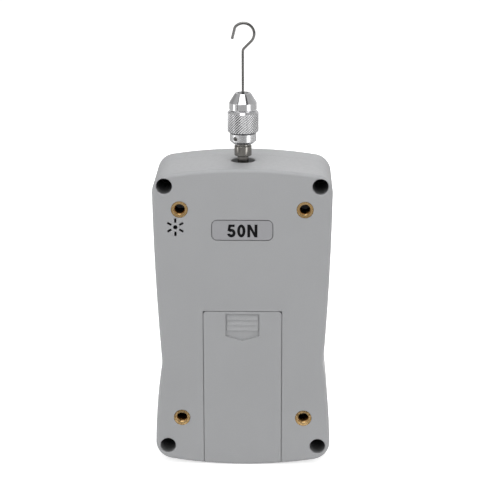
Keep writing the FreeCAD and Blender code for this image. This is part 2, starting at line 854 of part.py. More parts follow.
def thumb_grip(block):
    """Shield-shaped recess whose ribs slope out to level ledges."""
    top = s.door_top - s.grip_top
    side = s.grip_half_width
    shoulder = top - s.grip_side_height
    tip = top - s.grip_tip_height
    shield = [(-side, top), (-side, shoulder), (as_size(0), tip), (side, shoulder), (side, top)]
    pocket(block, lambda sketch: polygon(sketch, shield), 0, s.grip_depth)
    ledge = top - s.grip_first_ledge
    half = side - s.grip_rib_inset
    section = sketch_on(block, "YZ_Plane", offset=-half)
    corners = [(s.grip_depth, ledge), (s.grip_rib_sunk, ledge), (s.grip_depth, ledge + s.grip_rib_pitch)]
    polygon(section, corners)
    rib = block.newObject("PartDesign::Pad", "grip_rib")
    rib.Profile = section
    bind(rib, "Length", half * 2)
    rows = block.newObject("PartDesign::LinearPattern", "grip_ribs")
    rows.Originals = [rib]
    rows.Direction = (section, ["V_Axis"])
    rows.Reversed = True
    bind(rows, "Length", s.grip_rib_pitch * (s.grip_ribs - 1))
    bind(rows, "Occurrences", s.grip_ribs)
    block.Tip = rows
    doc.recompute()


# Fasteners and small fittings of the housing ---------------------------------

def screw(name, x, z, seat, reach, radius, head_radius, head_height):
    """Pan-head screw across the housing, from the seat of its head to its tip."""
    outward = -1 if float(reach) > float(seat) else 1
    crown = seat + head_height * outward
    profile = [
        (as_size(0), crown),
        (head_radius, crown),
        (head_radius, seat),
        (radius, seat),
        (radius, reach),
        (as_size(0), reach),
    ]
    return place(turn_profile(name, "XY_Plane", profile), x=x, z=z)


def case_screws():
    screws = [screw("case_screw", x, z, bore_depth, bore_depth + s.screw_length, s.screw_radius,
                    s.screw_head_radius, s.screw_head_height) for x, z in SCREW_PLACES]
    group("case_screws", screws)


def brass_inserts():
    """Threaded stand inserts, flush with the back face, grooved round the middle."""
    mid = s.insert_length / 2
    grooved = s.insert_radius - s.insert_groove
    bore = s.insert_bore_radius
    mouth = bore + s.insert_countersink
    profile = [
        (bore, s.insert_countersink),
        (mouth, as_size(0)),
        (s.insert_radius, as_size(0)),
        (s.insert_radius, mid - s.insert_groove * 2),
        (grooved, mid - s.insert_groove),
        (grooved, mid + s.insert_groove),
        (s.insert_radius, mid + s.insert_groove * 2),
        (s.insert_radius, s.insert_length),
        (bore, s.insert_length),
    ]
    inserts = [place(turn_profile("insert", "XY_Plane", profile), x=x, z=z) for x, z in INSERT_PLACES]
    group("brass_inserts", inserts)


def range_label():
    """Thin label set in its recess."""
    body = new_body("range_label")
    pad(body, panel(0, s.label_height, s.label_width, s.label_tall, s.label_radius),
        s.label_recess - s.label_thickness, s.label_recess)
    keep(body, "range_label")


# Batteries -------------------------------------------------------------------

cell_depth = door_inner + s.cell_gap + s.cell_radius
contact_bottom = -bay_bottom + s.contact_gap + s.contact_thickness
tab_end = bay_floor + s.bay_wall + s.contact_tab_end


def battery_cell(label, side, nub_end, towards):
    """Round cell: its nub touches one contact and a spring presses on its base."""
    shoulder = nub_end - s.cell_nub_height * towards
    base = shoulder - s.cell_length * towards
    profile = [
        (as_size(0), nub_end),
        (s.cell_nub_radius, nub_end),
        (s.cell_nub_radius, shoulder),
        (s.cell_radius, shoulder),
        (s.cell_radius, base),
        (as_size(0), base),
    ]
    body = turn_profile(label, "XZ_Plane", profile)
    keep(place(body, x=cell_side * side, y=cell_depth), label)
    return base


def battery_spring(base, seat, side):
    """Wire coil that fills the space between a cell's base and its contact."""
    body = new_body("spring")
    sketch = sketch_on(body, "XZ_Plane")
    circle(sketch, s.spring_radius, 0, s.spring_wire_radius)
    coil = body.newObject("PartDesign::AdditiveHelix", "coil")
    coil.Profile = sketch
    coil.ReferenceAxis = (sketch, ["V_Axis"])
    coil.Mode = "height-turns-growth"
    rise = base - seat
    low = seat if float(rise) > 0 else base
    clear = s.spring_wire_radius * 2 + s.contact_gap * 2
    bind(coil, "Height", (rise if float(rise) > 0 else -rise) - clear)
    bind(coil, "Turns", s.spring_turns)
    coil.Growth = 0
    place(body, x=cell_side * side, y=cell_depth, z=low + clear / 2)
    return body


def batteries():
    """Two cells in series, one up and one down: a plate joins them below, and two stand apart above."""
    left_base = battery_cell("battery_cell_left", -1, contact_top - s.contact_gap, 1)
    right_base = battery_cell("battery_cell_right", 1, contact_bottom + s.contact_gap, -1)
    springs = [battery_spring(left_base, contact_bottom, -1), battery_spring(right_base, contact_top, 1)]
    group("battery_springs", springs)
    half = bay_half - s.contact_gap
    split = s.contact_split / 2
    plates = []
    for left, right, low in ((-half, half, contact_bottom - s.contact_thickness),
                             (-half, -split, contact_top), (split, half, contact_top)):
        plate = new_body("contact")
        drawing = rectangle(left, right, low, low + s.contact_thickness)
        pad(plate, drawing, door_inner + s.cell_gap, bay_floor - s.contact_gap)
        plates.append(plate)
    for plate, side in zip(plates[1:], BOTH):
        pad(plate, contact_tab(side), bay_floor - s.contact_gap, tab_end)
    group("battery_contacts", plates)


def battery_leads():
    """Two short wires from the tabs of the upper contacts to the board."""
    wires = []
    for side in BOTH:
        wire = new_body("battery_lead")
        spot = (cell_side * side, contact_top + s.contact_thickness / 2)
        pad(wire, circles([spot], s.battery_lead_radius), tab_end, board_back)
        wires.append(wire)
    group("battery_leads", wires)


# Load cell -------------------------------------------------------------------

beam_top = beam_height + s.beam_tall / 2
beam_bottom = beam_height - s.beam_tall / 2
beam_screw_hole = s.beam_screw_radius + s.screw_clearance
nut_reach = s.shaft_nut_width / math.sqrt(3)
beam_free_end = nut_reach + s.stop_nut_gap + s.stop_width
beam_fixed_end = bracket_half - s.bracket_post_inset - s.bracket_screw_head_radius - s.beam_end_gap
beam_screw_far = beam_fixed_end - s.beam_end_land
beam_screw_near = beam_screw_far - s.beam_screw_pitch
thin_far = beam_screw_near - s.beam_screw_land - s.beam_hole_radius
BEAM_SCREW_PLACES = [(beam_screw_near, beam_height), (beam_screw_far, beam_height)]
THIN_PLACES = [thin_far - s.beam_hole_spacing, thin_far]


def load_cell():
    """Bending beam thinned by two crossing bores, with a clear hole for the shaft's tail."""
    body = new_body("load_cell")
    pad(body, rectangle(-beam_free_end, beam_fixed_end, beam_bottom, beam_top), beam_rear, beam_front)
    for x in THIN_PLACES:
        pocket(body, circles([(x, beam_height)], s.beam_hole_radius), beam_rear, beam_front)
    pocket(body, circles(BEAM_SCREW_PLACES, beam_screw_hole), beam_rear, beam_front)
    tail_hole = s.shaft_tail_radius + s.shaft_tail_clearance
    pocket(body, circles([(as_size(0), axis_depth)], tail_hole), beam_bottom, beam_top, upward=True)
    keep(body, "load_cell")


def strain_gauges():
    """Foil gauges over the four thin places of the beam."""
    foils = []
    half = s.gauge_foil_length / 2
    half_width = s.gauge_foil_width / 2
    for x in THIN_PLACES:
        for low in (beam_top, beam_bottom - s.gauge_foil_thickness):
            foil = new_body("foil")
            pad(foil, rectangle(x - half, x + half, low, low + s.gauge_foil_thickness),
                axis_depth - half_width, axis_depth + half_width)
            foils.append(foil)
    group("strain_gauges", foils)


def cell_lead():
    """Round lead from the underside of the load cell to its plug on the board."""
    body = new_body("cell_lead")
    plug_middle = s.plug_low + s.plug_tall / 2
    bend = s.cell_lead_bend
    corner = (axis_depth + bend, plug_middle + bend)
    plug_face = board_back - s.plug_rise
    path = sketch_on(body, "YZ_Plane")
    start = FreeCAD.Vector(float(axis_depth), float(beam_bottom), 0)
    turned = FreeCAD.Vector(float(axis_depth), float(corner[1]), 0)
    levelled = FreeCAD.Vector(float(corner[0]), float(plug_middle), 0)
    end = FreeCAD.Vector(float(plug_face), float(plug_middle), 0)
    drop = path.addGeometry(Part.LineSegment(start, turned), False)
    elbow = arc(path, float(corner[0]), float(corner[1]), float(bend), math.pi, math.pi * 3 / 2)
    run = path.addGeometry(Part.LineSegment(levelled, end), False)
    for definition in (("Tangent", drop, 2, elbow, 1), ("Tangent", elbow, 2, run, 1),
                       ("Vertical", drop), ("Horizontal", run)):
        path.addConstraint(Sketcher.Constraint(*definition))
    pin(path, elbow, 3, *corner)
    rule(path, bend, "Radius", elbow)
    rule(path, beam_bottom, "DistanceY", -1, 1, drop, 1)
    rule(path, plug_face, "DistanceX", -1, 1, run, 2)
    section = sketch_on(body, "XY_Plane", offset=beam_bottom)
    circle(section, as_size(0), axis_depth, s.cell_lead_radius)
    tube = body.newObject("PartDesign::AdditivePipe", "lead")
    tube.Profile = section
    tube.Spine = (path, ["Edge1", "Edge2", "Edge3"])
    doc.recompute()
    keep(place(body, x=beam_screw_near), "cell_lead")


def cell_bracket():
    """Plate that carries the beam's fixed end, with a stop above and below its free end."""
    body = new_body("cell_bracket")
    tall = s.bracket_half_height * 2
    plate = panel(0, beam_height, bracket_half * 2, tall, s.bracket_corner_radius)
    pad(body, plate, bracket_rear, bracket_front)
    seat_start = beam_screw_near - s.beam_screw_head_radius
    pad(body, rectangle(seat_start, beam_fixed_end, beam_bottom, beam_top), bracket_front, beam_rear)
    stop_side = -beam_free_end
    for low in (beam_top + s.stop_gap, beam_bottom - s.stop_gap - s.stop_thickness):
        pad(body, rectangle(stop_side, stop_side + s.stop_width, low, low + s.stop_thickness),
            bracket_front, bracket_front + s.stop_reach)
    pocket(body, circles(POST_PLACES, bracket_hole), bracket_rear, bracket_front)
    pocket(body, circles(BEAM_SCREW_PLACES, beam_screw_hole), bracket_rear, beam_rear)
    keep(body, "cell_bracket")


def cell_screws():
    bracket = [screw("bracket_screw", x, z, bracket_front, bracket_screw_end, s.bracket_screw_radius,
                     s.bracket_screw_head_radius, s.bracket_screw_head_height)
               for x, z in POST_PLACES]
    group("bracket_screws", bracket)
    beam = [screw("beam_screw", x, z, beam_front, bracket_rear, s.beam_screw_radius,
                  s.beam_screw_head_radius, s.beam_screw_head_height) for x, z in BEAM_SCREW_PLACES]
    group("beam_screws", beam)


# Measuring shaft ---------------------------------------------------------------

def on_axis(body, label, turn=0.0):
    """Set a turned piece on the measuring axis."""
    return keep(place(body, y=axis_depth, turn=turn), label)


head_bottom = s.case_top + s.shaft_head_rise
head_top = head_bottom + s.shaft_head_height
collar_bottom = head_top + s.shaft_groove_height
stud_top = collar_bottom + s.shaft_stud_length


def sensor_shaft():
    """Shaft from the load cell to the chuck: tail, shoulder, neck, head and threaded stud."""
    tail = beam_bottom - s.shaft_float - s.shaft_nut_height - s.shaft_tail_end
    shoulder = beam_top + s.shaft_float
    shoulder_top = shoulder + s.shaft_shoulder_height
    chamfer = s.shaft_head_chamfer
    profile = [
        (as_size(0), tail),
        (s.shaft_tail_radius, tail),
        (s.shaft_tail_radius, shoulder),
        (s.shaft_shoulder_radius, shoulder),
        (s.shaft_shoulder_radius, shoulder_top),
        (s.shaft_neck_radius, shoulder_top),
        (s.shaft_neck_radius, head_bottom),
        (s.shaft_head_radius - chamfer, head_bottom),
        (s.shaft_head_radius, head_bottom + chamfer),
        (s.shaft_head_radius, head_top - chamfer),
        (s.shaft_head_radius - chamfer, head_top),
        (s.shaft_groove_radius, head_top),
        (s.shaft_groove_radius, collar_bottom),
        (s.shaft_stud_radius, collar_bottom),
        (s.shaft_stud_radius, stud_top),
        (as_size(0), stud_top),
    ]
    on_axis(turn_profile("sensor_shaft", "XZ_Plane", profile), "sensor_shaft")


def shaft_nut():
    """Hexagon nut on the shaft's tail, under the load cell."""
    body = new_body("shaft_nut")
    angles = [math.radians(60 * corner) for corner in range(6)]
    corners = [(nut_reach * math.cos(angle), nut_reach * math.sin(angle)) for angle in angles]
    top = beam_bottom - s.shaft_float
    pad(body, lambda sketch: polygon(sketch, corners), top - s.shaft_nut_height, top, upward=True)
    pocket(body, circles([(0, 0)], s.shaft_tail_radius + s.stud_hole_clearance),
           top - s.shaft_nut_height, top, upward=True)
    on_axis(body, "shaft_nut")


# Chuck and hook ------------------------------------------------------------------

collar_top = collar_bottom + s.collar_height
sleeve_bottom = collar_top + s.nut_gap
sleeve_top = collar_top + s.sleeve_height
nose_bottom = sleeve_top + s.nose_groove_height
nose_cone = nose_bottom + s.nose_straight_height
nose_top = nose_cone + s.nose_cone_height
spigot_top = sleeve_top + s.spigot_height
collet_bore = s.collet_radius + s.collet_clearance
stud_hole_end = stud_top + s.stud_hole_extra
collet_floor = stud_hole_end + s.collet_web
nose_throat = nose_top - s.nose_throat_height


def chuck_body():
    """Collar with a tommy hole, and the threaded spigot for the clamping nut."""
    hole = s.shaft_stud_radius + s.stud_hole_clearance
    profile = [
        (hole, collar_bottom),
        (s.collar_foot_radius, collar_bottom),
        (s.collar_radius, collar_bottom + s.collar_chamfer_height),
        (s.collar_radius, collar_top),
        (s.spigot_radius, collar_top),
        (s.spigot_radius, spigot_top),
        (collet_bore, spigot_top),
        (collet_bore, collet_floor),
        (as_size(0), collet_floor),
        (as_size(0), stud_hole_end),
        (hole, stud_hole_end),
    ]
    body = turn_profile("chuck_body", "XZ_Plane", profile)
    tommy_hole = circles([(as_size(0), collar_bottom + s.tommy_hole_rise)], s.tommy_hole_radius)
    pocket(body, tommy_hole, -s.collar_radius, s.collar_radius)
    on_axis(body, "chuck_body", s.tommy_hole_turn)


def chuck_nose():
    """Clamping nut: a gripping sleeve and, over a groove, a turned nose with a cone."""
    thread = s.spigot_radius + s.nose_thread_clearance
    shoulder = spigot_top + s.nose_thread_clearance
    edge = s.nose_edge_chamfer
    groove = s.nose_radius - s.nose_groove_depth
    profile = [
        (thread, sleeve_bottom),
        (s.sleeve_radius - s.sleeve_chamfer, sleeve_bottom),
        (s.sleeve_radius, sleeve_bottom + s.sleeve_chamfer),
        (s.sleeve_radius, sleeve_top - s.sleeve_chamfer),
        (s.sleeve_radius - s.sleeve_chamfer, sleeve_top),
        (groove, sleeve_top),
        (groove, nose_bottom),
        (s.nose_radius - edge, nose_bottom),
        (s.nose_radius, nose_bottom + edge),
        (s.nose_radius, nose_cone),
        (s.nose_top_radius, nose_top),
        (s.nose_throat_radius, nose_top),
        (s.nose_throat_radius, nose_throat),
        (s.collet_head_radius + s.collet_clearance * 2, shoulder),
        (thread, shoulder),
    ]
    body = turn_profile("chuck_nose", "XZ_Plane", profile)
    on_axis(body, "chuck_nose")


def collet():
    """Split collet: four springy jaws that close on the wire."""
    base = collet_floor + s.collet_clearance * 2
    cone_start = spigot_top + s.collet_clearance
    cone_end = nose_throat - s.collet_clearance
    widest = cone_start + (s.collet_head_radius - s.collet_radius)
    mouth = s.collet_mouth_radius
    bore = s.wire_radius + s.wire_clearance
    profile = [
        (bore, base),
        (s.collet_radius, base),
        (s.collet_radius, cone_start),
        (s.collet_head_radius, widest),
        (mouth, cone_end),
        (mouth, nose_top),
        (bore, nose_top),
    ]
    body = turn_profile("collet", "XZ_Plane", profile)
    half = s.collet_slot_width / 2
    wide = s.collet_head_radius * 2
    cross = [(half, half), (half, wide), (-half, wide), (-half, half), (-wide, half), (-wide, -half),
             (-half, -half), (-half, -wide), (half, -wide), (half, -half), (wide, -half), (wide, half)]
    pocket(body, lambda sketch: polygon(sketch, cross), nose_top - s.collet_slot_depth, nose_top, upward=True)
    on_axis(body, "collet")


def hook():
    """Bent wire: straight shank, a short lean to one side, an open round eye, and a straight tip."""
    body = new_body("hook")
    low = float(nose_top - s.wire_seat_depth)
    lean = math.radians(float(s.hook_lean))
    bend = float(s.hook_bend_radius)
    eye = float(s.hook_eye_radius)
    eye_x = float(s.hook_eye_shift)
    eye_y = float(nose_top + s.hook_eye_rise)
    join = FreeCAD.Vector(eye_x + eye * math.cos(lean), eye_y - eye * math.sin(lean), 0)
    bend_end = FreeCAD.Vector(bend * (1 - math.cos(lean)), 0, 0)
    bend_end.y = join.y - (join.x - bend_end.x) / math.tan(lean)
    bend_start = FreeCAD.Vector(0, bend_end.y - bend * math.sin(lean), 0)
    opening = math.pi - math.asin(float(s.hook_open_rise) / eye)
    flare = math.radians(float(s.hook_tip_lean))
    nip = float(s.hook_tip_bend_radius)
    nip_x = eye_x + (eye - nip) * math.cos(opening)
    nip_y = eye_y + (eye - nip) * math.sin(opening)
    nip_end = FreeCAD.Vector(nip_x - nip * math.cos(flare), nip_y + nip * math.sin(flare), 0)
    tip = FreeCAD.Vector(0, eye_y - float(s.hook_tip_drop), 0)
    tip.x = nip_end.x - (nip_end.y - tip.y) * math.tan(flare)
    path = sketch_on(body, "XZ_Plane")
    shank = path.addGeometry(Part.LineSegment(FreeCAD.Vector(0, low, 0), bend_start), False)
    turn = arc(path, bend, bend_start.y, bend, math.pi - lean, math.pi)
    leaning = path.addGeometry(Part.LineSegment(bend_end, join), False)
    ring = arc(path, eye_x, eye_y, eye, -lean, opening)
    nipped = arc(path, nip_x, nip_y, nip, opening, math.pi - flare)
    tip_line = path.addGeometry(Part.LineSegment(tip, nip_end), False)
    for definition in (("Tangent", shank, 2, turn, 2), ("Tangent", turn, 1, leaning, 1),
                       ("Tangent", leaning, 2, ring, 1), ("Tangent", ring, 2, nipped, 1),
                       ("Tangent", nipped, 2, tip_line, 2), ("Vertical", shank)):
        path.addConstraint(Sketcher.Constraint(*definition))
    pin(path, shank, 1, 0, nose_top - s.wire_seat_depth)
    pin(path, ring, 3, s.hook_eye_shift, nose_top + s.hook_eye_rise)
    rule(path, s.hook_bend_radius, "Radius", turn)
    rule(path, s.hook_eye_radius, "Radius", ring)
    rule(path, s.hook_tip_bend_radius, "Radius", nipped)
    rule(path, nose_top + s.hook_eye_rise + s.hook_open_rise, "DistanceY", -1, 1, ring, 2)
    rule(path, nose_top + s.hook_eye_rise - s.hook_tip_drop, "DistanceY", -1, 1, tip_line, 1)
    for line, tilt, size in ((leaning, lean, s.hook_lean), (tip_line, flare, s.hook_tip_lean)):
        angle = path.addConstraint(Sketcher.Constraint("Angle", line, math.pi / 2 - tilt))
        bind(path, f"Constraints[{angle}]", as_size(90) - size)
    section = sketch_on(body, "XY_Plane", offset=nose_top - s.wire_seat_depth)
    circle(section, 0, 0, s.wire_radius)
    wire = body.newObject("PartDesign::AdditivePipe", "wire")
    wire.Profile = section
    wire.Spine = (path, [f"Edge{number}" for number in range(1, 7)])
    doc.recompute()
    on_axis(body, "hook")


# Display side ----------------------------------------------------------------------

key_lower_row = s.key_row_height - s.key_row_drop
KEYS = {
    "key_power": (-s.key_pitch_across, s.key_row_height),
    "key_unit": (as_size(0), s.key_row_height),
    "key_peak": (s.key_pitch_across, s.key_row_height),
    "key_down": (-s.key_pitch_across, key_lower_row),
    "key_zero": (as_size(0), key_lower_row),
    "key_up": (s.key_pitch_across, key_lower_row),
}
key_shoulder = case_inner_front - s.key_float
key_base = key_shoulder - s.key_flange_thickness
switch_top = key_base - s.switch_gap


def display_window():
    """Clear window set flush in the front shell."""
    body = new_body("display_window")
    pad(body, panel(0, window_height, s.window_width, s.window_tall, s.window_radius),
        s.case_depth - s.window_thickness, s.case_depth)
    keep(body, "display_window")


def lcd_module():
    """Display module that stands on the board behind the window."""
    body = new_body("lcd_module")
    glass = panel(0, window_height, s.lcd_width, s.lcd_tall, s.lcd_corner_radius)
    pad(body, glass, board_front, board_front + s.lcd_thickness)
    keep(body, "lcd_module")


def main_board():
    """Circuit board with its main chips and the load cell's plug on the back."""
    body = new_body("main_board")
    middle = (board_top + board_bottom) / 2
    sheet_form = panel(0, middle, board_half * 2, board_top - board_bottom, s.board_corner_radius)
    pad(body, sheet_form, board_back, board_front)
    pocket(body, circles(BOARD_POST_PLACES, board_hole), board_back, board_front)
    for left, low, width, tall, rise in (
        (s.chip_left, s.chip_low, s.chip_width, s.chip_tall, s.chip_rise),
        (s.driver_left, s.driver_low, s.driver_width, s.driver_tall, s.driver_rise),
        (beam_screw_near - s.plug_width / 2, s.plug_low, s.plug_width, s.plug_tall, s.plug_rise),
    ):
        pad(body, rectangle(left, left + width, low, low + tall), board_back - rise, board_back)
    keep(body, "main_board")


def board_screws():
    tip = board_back + s.board_screw_length
    screws = [screw("board_screw", x, z, board_back, tip, s.board_screw_radius,
                    s.board_screw_head_radius, s.board_screw_head_height) for x, z in BOARD_POST_PLACES]
    group("board_screws", screws)


def buzzer():
    """Round sounder on the back of the board, behind the grille."""
    back = board_back - s.buzzer_height
    profile = [
        (s.grille_dot_radius, back),
        (s.buzzer_radius, back),
        (s.buzzer_radius, board_back),
        (as_size(0), board_back),
        (as_size(0), back + s.buzzer_mouth_depth),
        (s.grille_dot_radius, back + s.buzzer_mouth_depth),
    ]
    across, height = GRILLE_PLACE
    keep(place(turn_profile("buzzer", "XY_Plane", profile), x=across + s.buzzer_inward, z=height), "buzzer")


def keys():
    """Each key has a flange inside the shell and a cap that stands proud of it."""
    for label, (x, z) in KEYS.items():
        body = new_body(label)
        rim = s.key_flange * 2
        pad(body, panel(0, 0, s.key_width + rim, s.key_tall + rim, s.key_radius + s.key_flange),
            key_base, key_shoulder)
        front = s.case_depth + s.key_proud
        cap = pad(body, panel(0, 0, s.key_width, s.key_tall, s.key_radius), key_shoulder, front)
        dress(body, "Fillet", cap, at_depth(front), s.key_edge_radius)
        keep(place(body, x=x, z=z), label)


def tact_switches():
    """Small switches on the board, one behind each key."""
    switches = []
    for x, z in KEYS.values():
        body = new_body("switch")
        half = s.switch_half
        pad(body, rectangle(-half, half, -half, half), board_front, board_front + s.switch_body_height)
        pad(body, circles([(0, 0)], s.switch_stem_radius), board_front + s.switch_body_height, switch_top)
        switches.append(place(body, x=x, z=z))
    group("tact_switches", switches)


def export():
    """Check every object, then write one STEP file for each sub-part."""
    doc.recompute()
    for item in doc.Objects:
        if "Invalid" in item.State or "Error" in item.State:
            raise RuntimeError(f"{item.Label} failed: {item.State}")
    for node in nodes:
        if node.Shape.isNull() or not node.Shape.isValid():
            raise RuntimeError(f"{node.Label} has no valid shape")
    os.makedirs("parts", exist_ok=True)
    for node in nodes:
        node.Shape.exportStep(f"parts/{node.Label}.step")
        print(f"{node.Label}: {len(node.Shape.Solids)} solids, {node.Shape.Volume:.1f} mm3")


rear_case()
front_case()
battery_cover()
case_screws()
brass_inserts()
range_label()
batteries()
battery_leads()
load_cell()
cell_lead()
strain_gauges()
cell_bracket()
cell_screws()
sensor_shaft()
shaft_nut()
chuck_body()
chuck_nose()
collet()
hook()
display_window()
lcd_module()
main_board()
board_screws()
buzzer()
keys()
tact_switches()
export()
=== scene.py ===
import math
import bmesh
import bpy
from mathutils import Matrix, Vector


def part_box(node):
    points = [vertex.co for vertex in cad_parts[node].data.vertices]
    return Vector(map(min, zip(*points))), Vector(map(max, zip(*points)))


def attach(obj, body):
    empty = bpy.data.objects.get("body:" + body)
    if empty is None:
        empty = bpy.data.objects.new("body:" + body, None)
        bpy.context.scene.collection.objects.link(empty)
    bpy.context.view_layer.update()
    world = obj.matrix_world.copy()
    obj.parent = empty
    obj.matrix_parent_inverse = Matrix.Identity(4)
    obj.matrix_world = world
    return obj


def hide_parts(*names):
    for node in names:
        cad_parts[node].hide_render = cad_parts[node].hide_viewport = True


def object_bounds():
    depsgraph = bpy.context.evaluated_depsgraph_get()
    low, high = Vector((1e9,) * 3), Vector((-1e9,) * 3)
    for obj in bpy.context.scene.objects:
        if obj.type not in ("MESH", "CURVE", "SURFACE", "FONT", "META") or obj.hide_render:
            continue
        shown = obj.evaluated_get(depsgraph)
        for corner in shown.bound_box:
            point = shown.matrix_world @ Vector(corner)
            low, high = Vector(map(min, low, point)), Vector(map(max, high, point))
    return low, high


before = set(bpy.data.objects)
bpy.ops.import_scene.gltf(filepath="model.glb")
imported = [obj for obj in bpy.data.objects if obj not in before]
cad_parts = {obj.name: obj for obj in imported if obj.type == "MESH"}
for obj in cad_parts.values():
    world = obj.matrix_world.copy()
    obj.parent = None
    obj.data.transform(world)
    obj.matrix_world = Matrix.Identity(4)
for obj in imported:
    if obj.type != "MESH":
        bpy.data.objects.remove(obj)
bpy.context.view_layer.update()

# Housing shells: two injection-moulded halves in mid-grey ABS with a fine
# spark-eroded texture. The rear half carries the bosses, the grille and the
# battery bay; the front half drops over its lip. The bay's lid is the same.


def fit(tree, node, inlets):
    """Fills a node's inlets, named or numbered, with values or other nodes' outlets."""
    for name, value in inlets.items():
        inlet = node.inputs[int(name[1:])] if name[1:].isdigit() else node.inputs[name.replace("_", " ")]
        for one in value if isinstance(value, list) else [value]:
            if isinstance(one, bpy.types.NodeSocket):
                tree.links.new(one, inlet)
            else:
                inlet.default_value = one


def step(tree, kind, outlet=0, settings=None, **inlets):
    """Adds one node to a tree and gives back one of its outlets."""
    node = tree.nodes.new(kind)
    for name, value in (settings or {}).items():
        setattr(node, name, value)
    fit(tree, node, inlets)
    return node.outputs[outlet]


def sum_of(tree, kind, *terms):
    """One sum on plain numbers: ADD, MULTIPLY, SINE and so on."""
    return step(tree, "ShaderNodeMath", settings={"operation": kind},
                **{f"n{place}": term for place, term in enumerate(terms)})


def vector_sum(tree, kind, *terms, **inlets):
    """One sum on vectors: SUBTRACT, SCALE, LENGTH and so on."""
    outlet = "Value" if kind in ("LENGTH", "DISTANCE") else "Vector"
    inlets.update({f"n{place}": term for place, term in enumerate(terms)})
    return step(tree, "ShaderNodeVectorMath", outlet, {"operation": kind}, **inlets)


def reopened(material):
    """A material's tree, and the place on the piece that its patterns read."""
    return material.node_tree, step(material.node_tree, "ShaderNodeTexCoord", outlet="Object")


def new_finish(name, metallic=0.0, roughness=0.5):
    """A new material, its tree, its shader and the place that patterns read."""
    material = bpy.data.materials.new(name)
    material.use_nodes = True
    tree, place = reopened(material)
    shader = tree.nodes["Principled BSDF"]
    fit(tree, shader, {"Metallic": metallic, "Roughness": roughness})
    return material, tree, shader, place


def speckle(tree, place, grains, low, high, detail=2.0):
    """Noise with so many grains to the metre, spread between two values."""
    noise = step(tree, "ShaderNodeTexNoise", Vector=place, Scale=grains, Detail=detail)
    return step(tree, "ShaderNodeMapRange", Value=noise, From_Min=0.3, From_Max=0.7,
                To_Min=low, To_Max=high)


def toned(tree, colour, factor):
    """A colour made lighter or darker by a factor."""
    return vector_sum(tree, "SCALE", colour, Scale=factor)


def tinted(material, factor):
    """Makes a finished material lighter or darker by a factor worked out in its own tree."""
    tree = material.node_tree
    shader = tree.nodes["Principled BSDF"]
    colour = shader.inputs["Base Color"].links[0].from_socket
    fit(tree, shader, {"Base Color": toned(tree, colour, factor)})


def relief(tree, height, depth):
    """Surface relief of a real depth in metres."""
    return step(tree, "ShaderNodeBump", Strength=1.0, Distance=depth, Height=height)


def moulded_plastic(name, colour, roughness=0.5, texture_depth=9e-6, shine=0.5):
    """Moulded plastic with a spark-eroded texture and slight clouds in its colour."""
    material, tree, shader, place = new_finish(name)
    shader.inputs["Specular IOR Level"].default_value = shine
    tone = sum_of(tree, "MULTIPLY", speckle(tree, place, 40.0, 0.985, 1.015, 3.0),
                  speckle(tree, place, 2400.0, 0.975, 1.025))
    fit(tree, shader, {
        "Base Color": toned(tree, colour, tone),
        "Roughness": speckle(tree, place, 700.0, roughness - 0.05, roughness + 0.05),
        "Normal": relief(tree, speckle(tree, place, 2000.0, 0.0, 1.0, 3.0), texture_depth),
    })
    return material


def dress(node, material):
    """Gives a carried-over node its material."""
    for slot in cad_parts[node].material_slots:
        slot.material = material


def solid_boxes(node, split=0.0, rows=True):
    """The boxes of a node's like solids: left and right of a line and, in rows, low and high."""
    groups = {}
    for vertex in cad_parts[node].data.vertices:
        groups.setdefault((vertex.co.x > split, rows and vertex.co.z > 0), []).append(vertex.co)
    return [(Vector(map(min, *map(tuple, group))), Vector(map(max, *map(tuple, group))))
            for _, group in sorted(groups.items())]


def nearest(tree, place, holes):
    """Distance across the back to the nearest of some holes' middles."""
    flat = vector_sum(tree, "MULTIPLY", place, (1.0, 0.0, 1.0))
    least = 1.0
    for hole in holes:
        least = sum_of(tree, "MINIMUM", least, vector_sum(tree, "DISTANCE", flat, (hole.x, 0.0, hole.z)))
    return least


def shaded(tree, value, start, end, level):
    """A factor that falls from 1 to a level while a value goes from start to end."""
    return step(tree, "ShaderNodeMapRange", Value=value, From_Min=start, From_Max=end,
                To_Min=1.0, To_Max=level)


def painted_shade_in_holes(material, holes, reach, mouth, dark, end, level):
    """Painted shade in holes in the back: none at the mouth, full from the dark depth to the end."""
    tree, place = reopened(material)
    depth = step(tree, "ShaderNodeSeparateXYZ", outlet="Y", Vector=place)
    inside = sum_of(tree, "MULTIPLY", sum_of(tree, "LESS_THAN", nearest(tree, place, holes), reach),
                    sum_of(tree, "LESS_THAN", depth, end))
    tinted(material, step(tree, "ShaderNodeMix", settings={"data_type": "FLOAT"}, n0=inside,
                          n2=1.0, n3=shaded(tree, depth, mouth, dark, level)))


grey_abs = moulded_plastic("grey_abs", (0.350, 0.354, 0.362))
tree, place = reopened(grey_abs)
depth = step(tree, "ShaderNodeSeparateXYZ", outlet="Y", Vector=place)
parting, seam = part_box("front_case")[0].y, 0.00003
from_seam = sum_of(tree, "ABSOLUTE", sum_of(tree, "SUBTRACT", depth, parting))
tinted(grey_abs, shaded(tree, from_seam, start=seam * 2, end=seam, level=0.45))
# Painted shade: the walls of the case screws' bores and the grille's slots darken from the mouth inward.
mouth_edge, back_wall = 0.0003, 0.004
screw_bores = [(low + high) / 2 for low, high in solid_boxes("case_screws")]
painted_shade_in_holes(grey_abs, screw_bores, reach=0.0034, mouth=mouth_edge, dark=0.0022,
             end=parting - 0.001, level=0.50)
low, high = solid_boxes("brass_inserts")[1]
grille = (low + high) / 2 + Vector((-0.0017, 0.0, -0.0074))
painted_shade_in_holes(grey_abs, [grille], reach=0.0045, mouth=mouth_edge, dark=0.0008,
             end=back_wall, level=0.05)
for shell in ("rear_case", "front_case"):
    dress(shell, grey_abs)

# Stand inserts: four turned brass bushes pressed into the rear shell's
# bosses, with a knurled outside, a countersunk mouth and a cut thread.


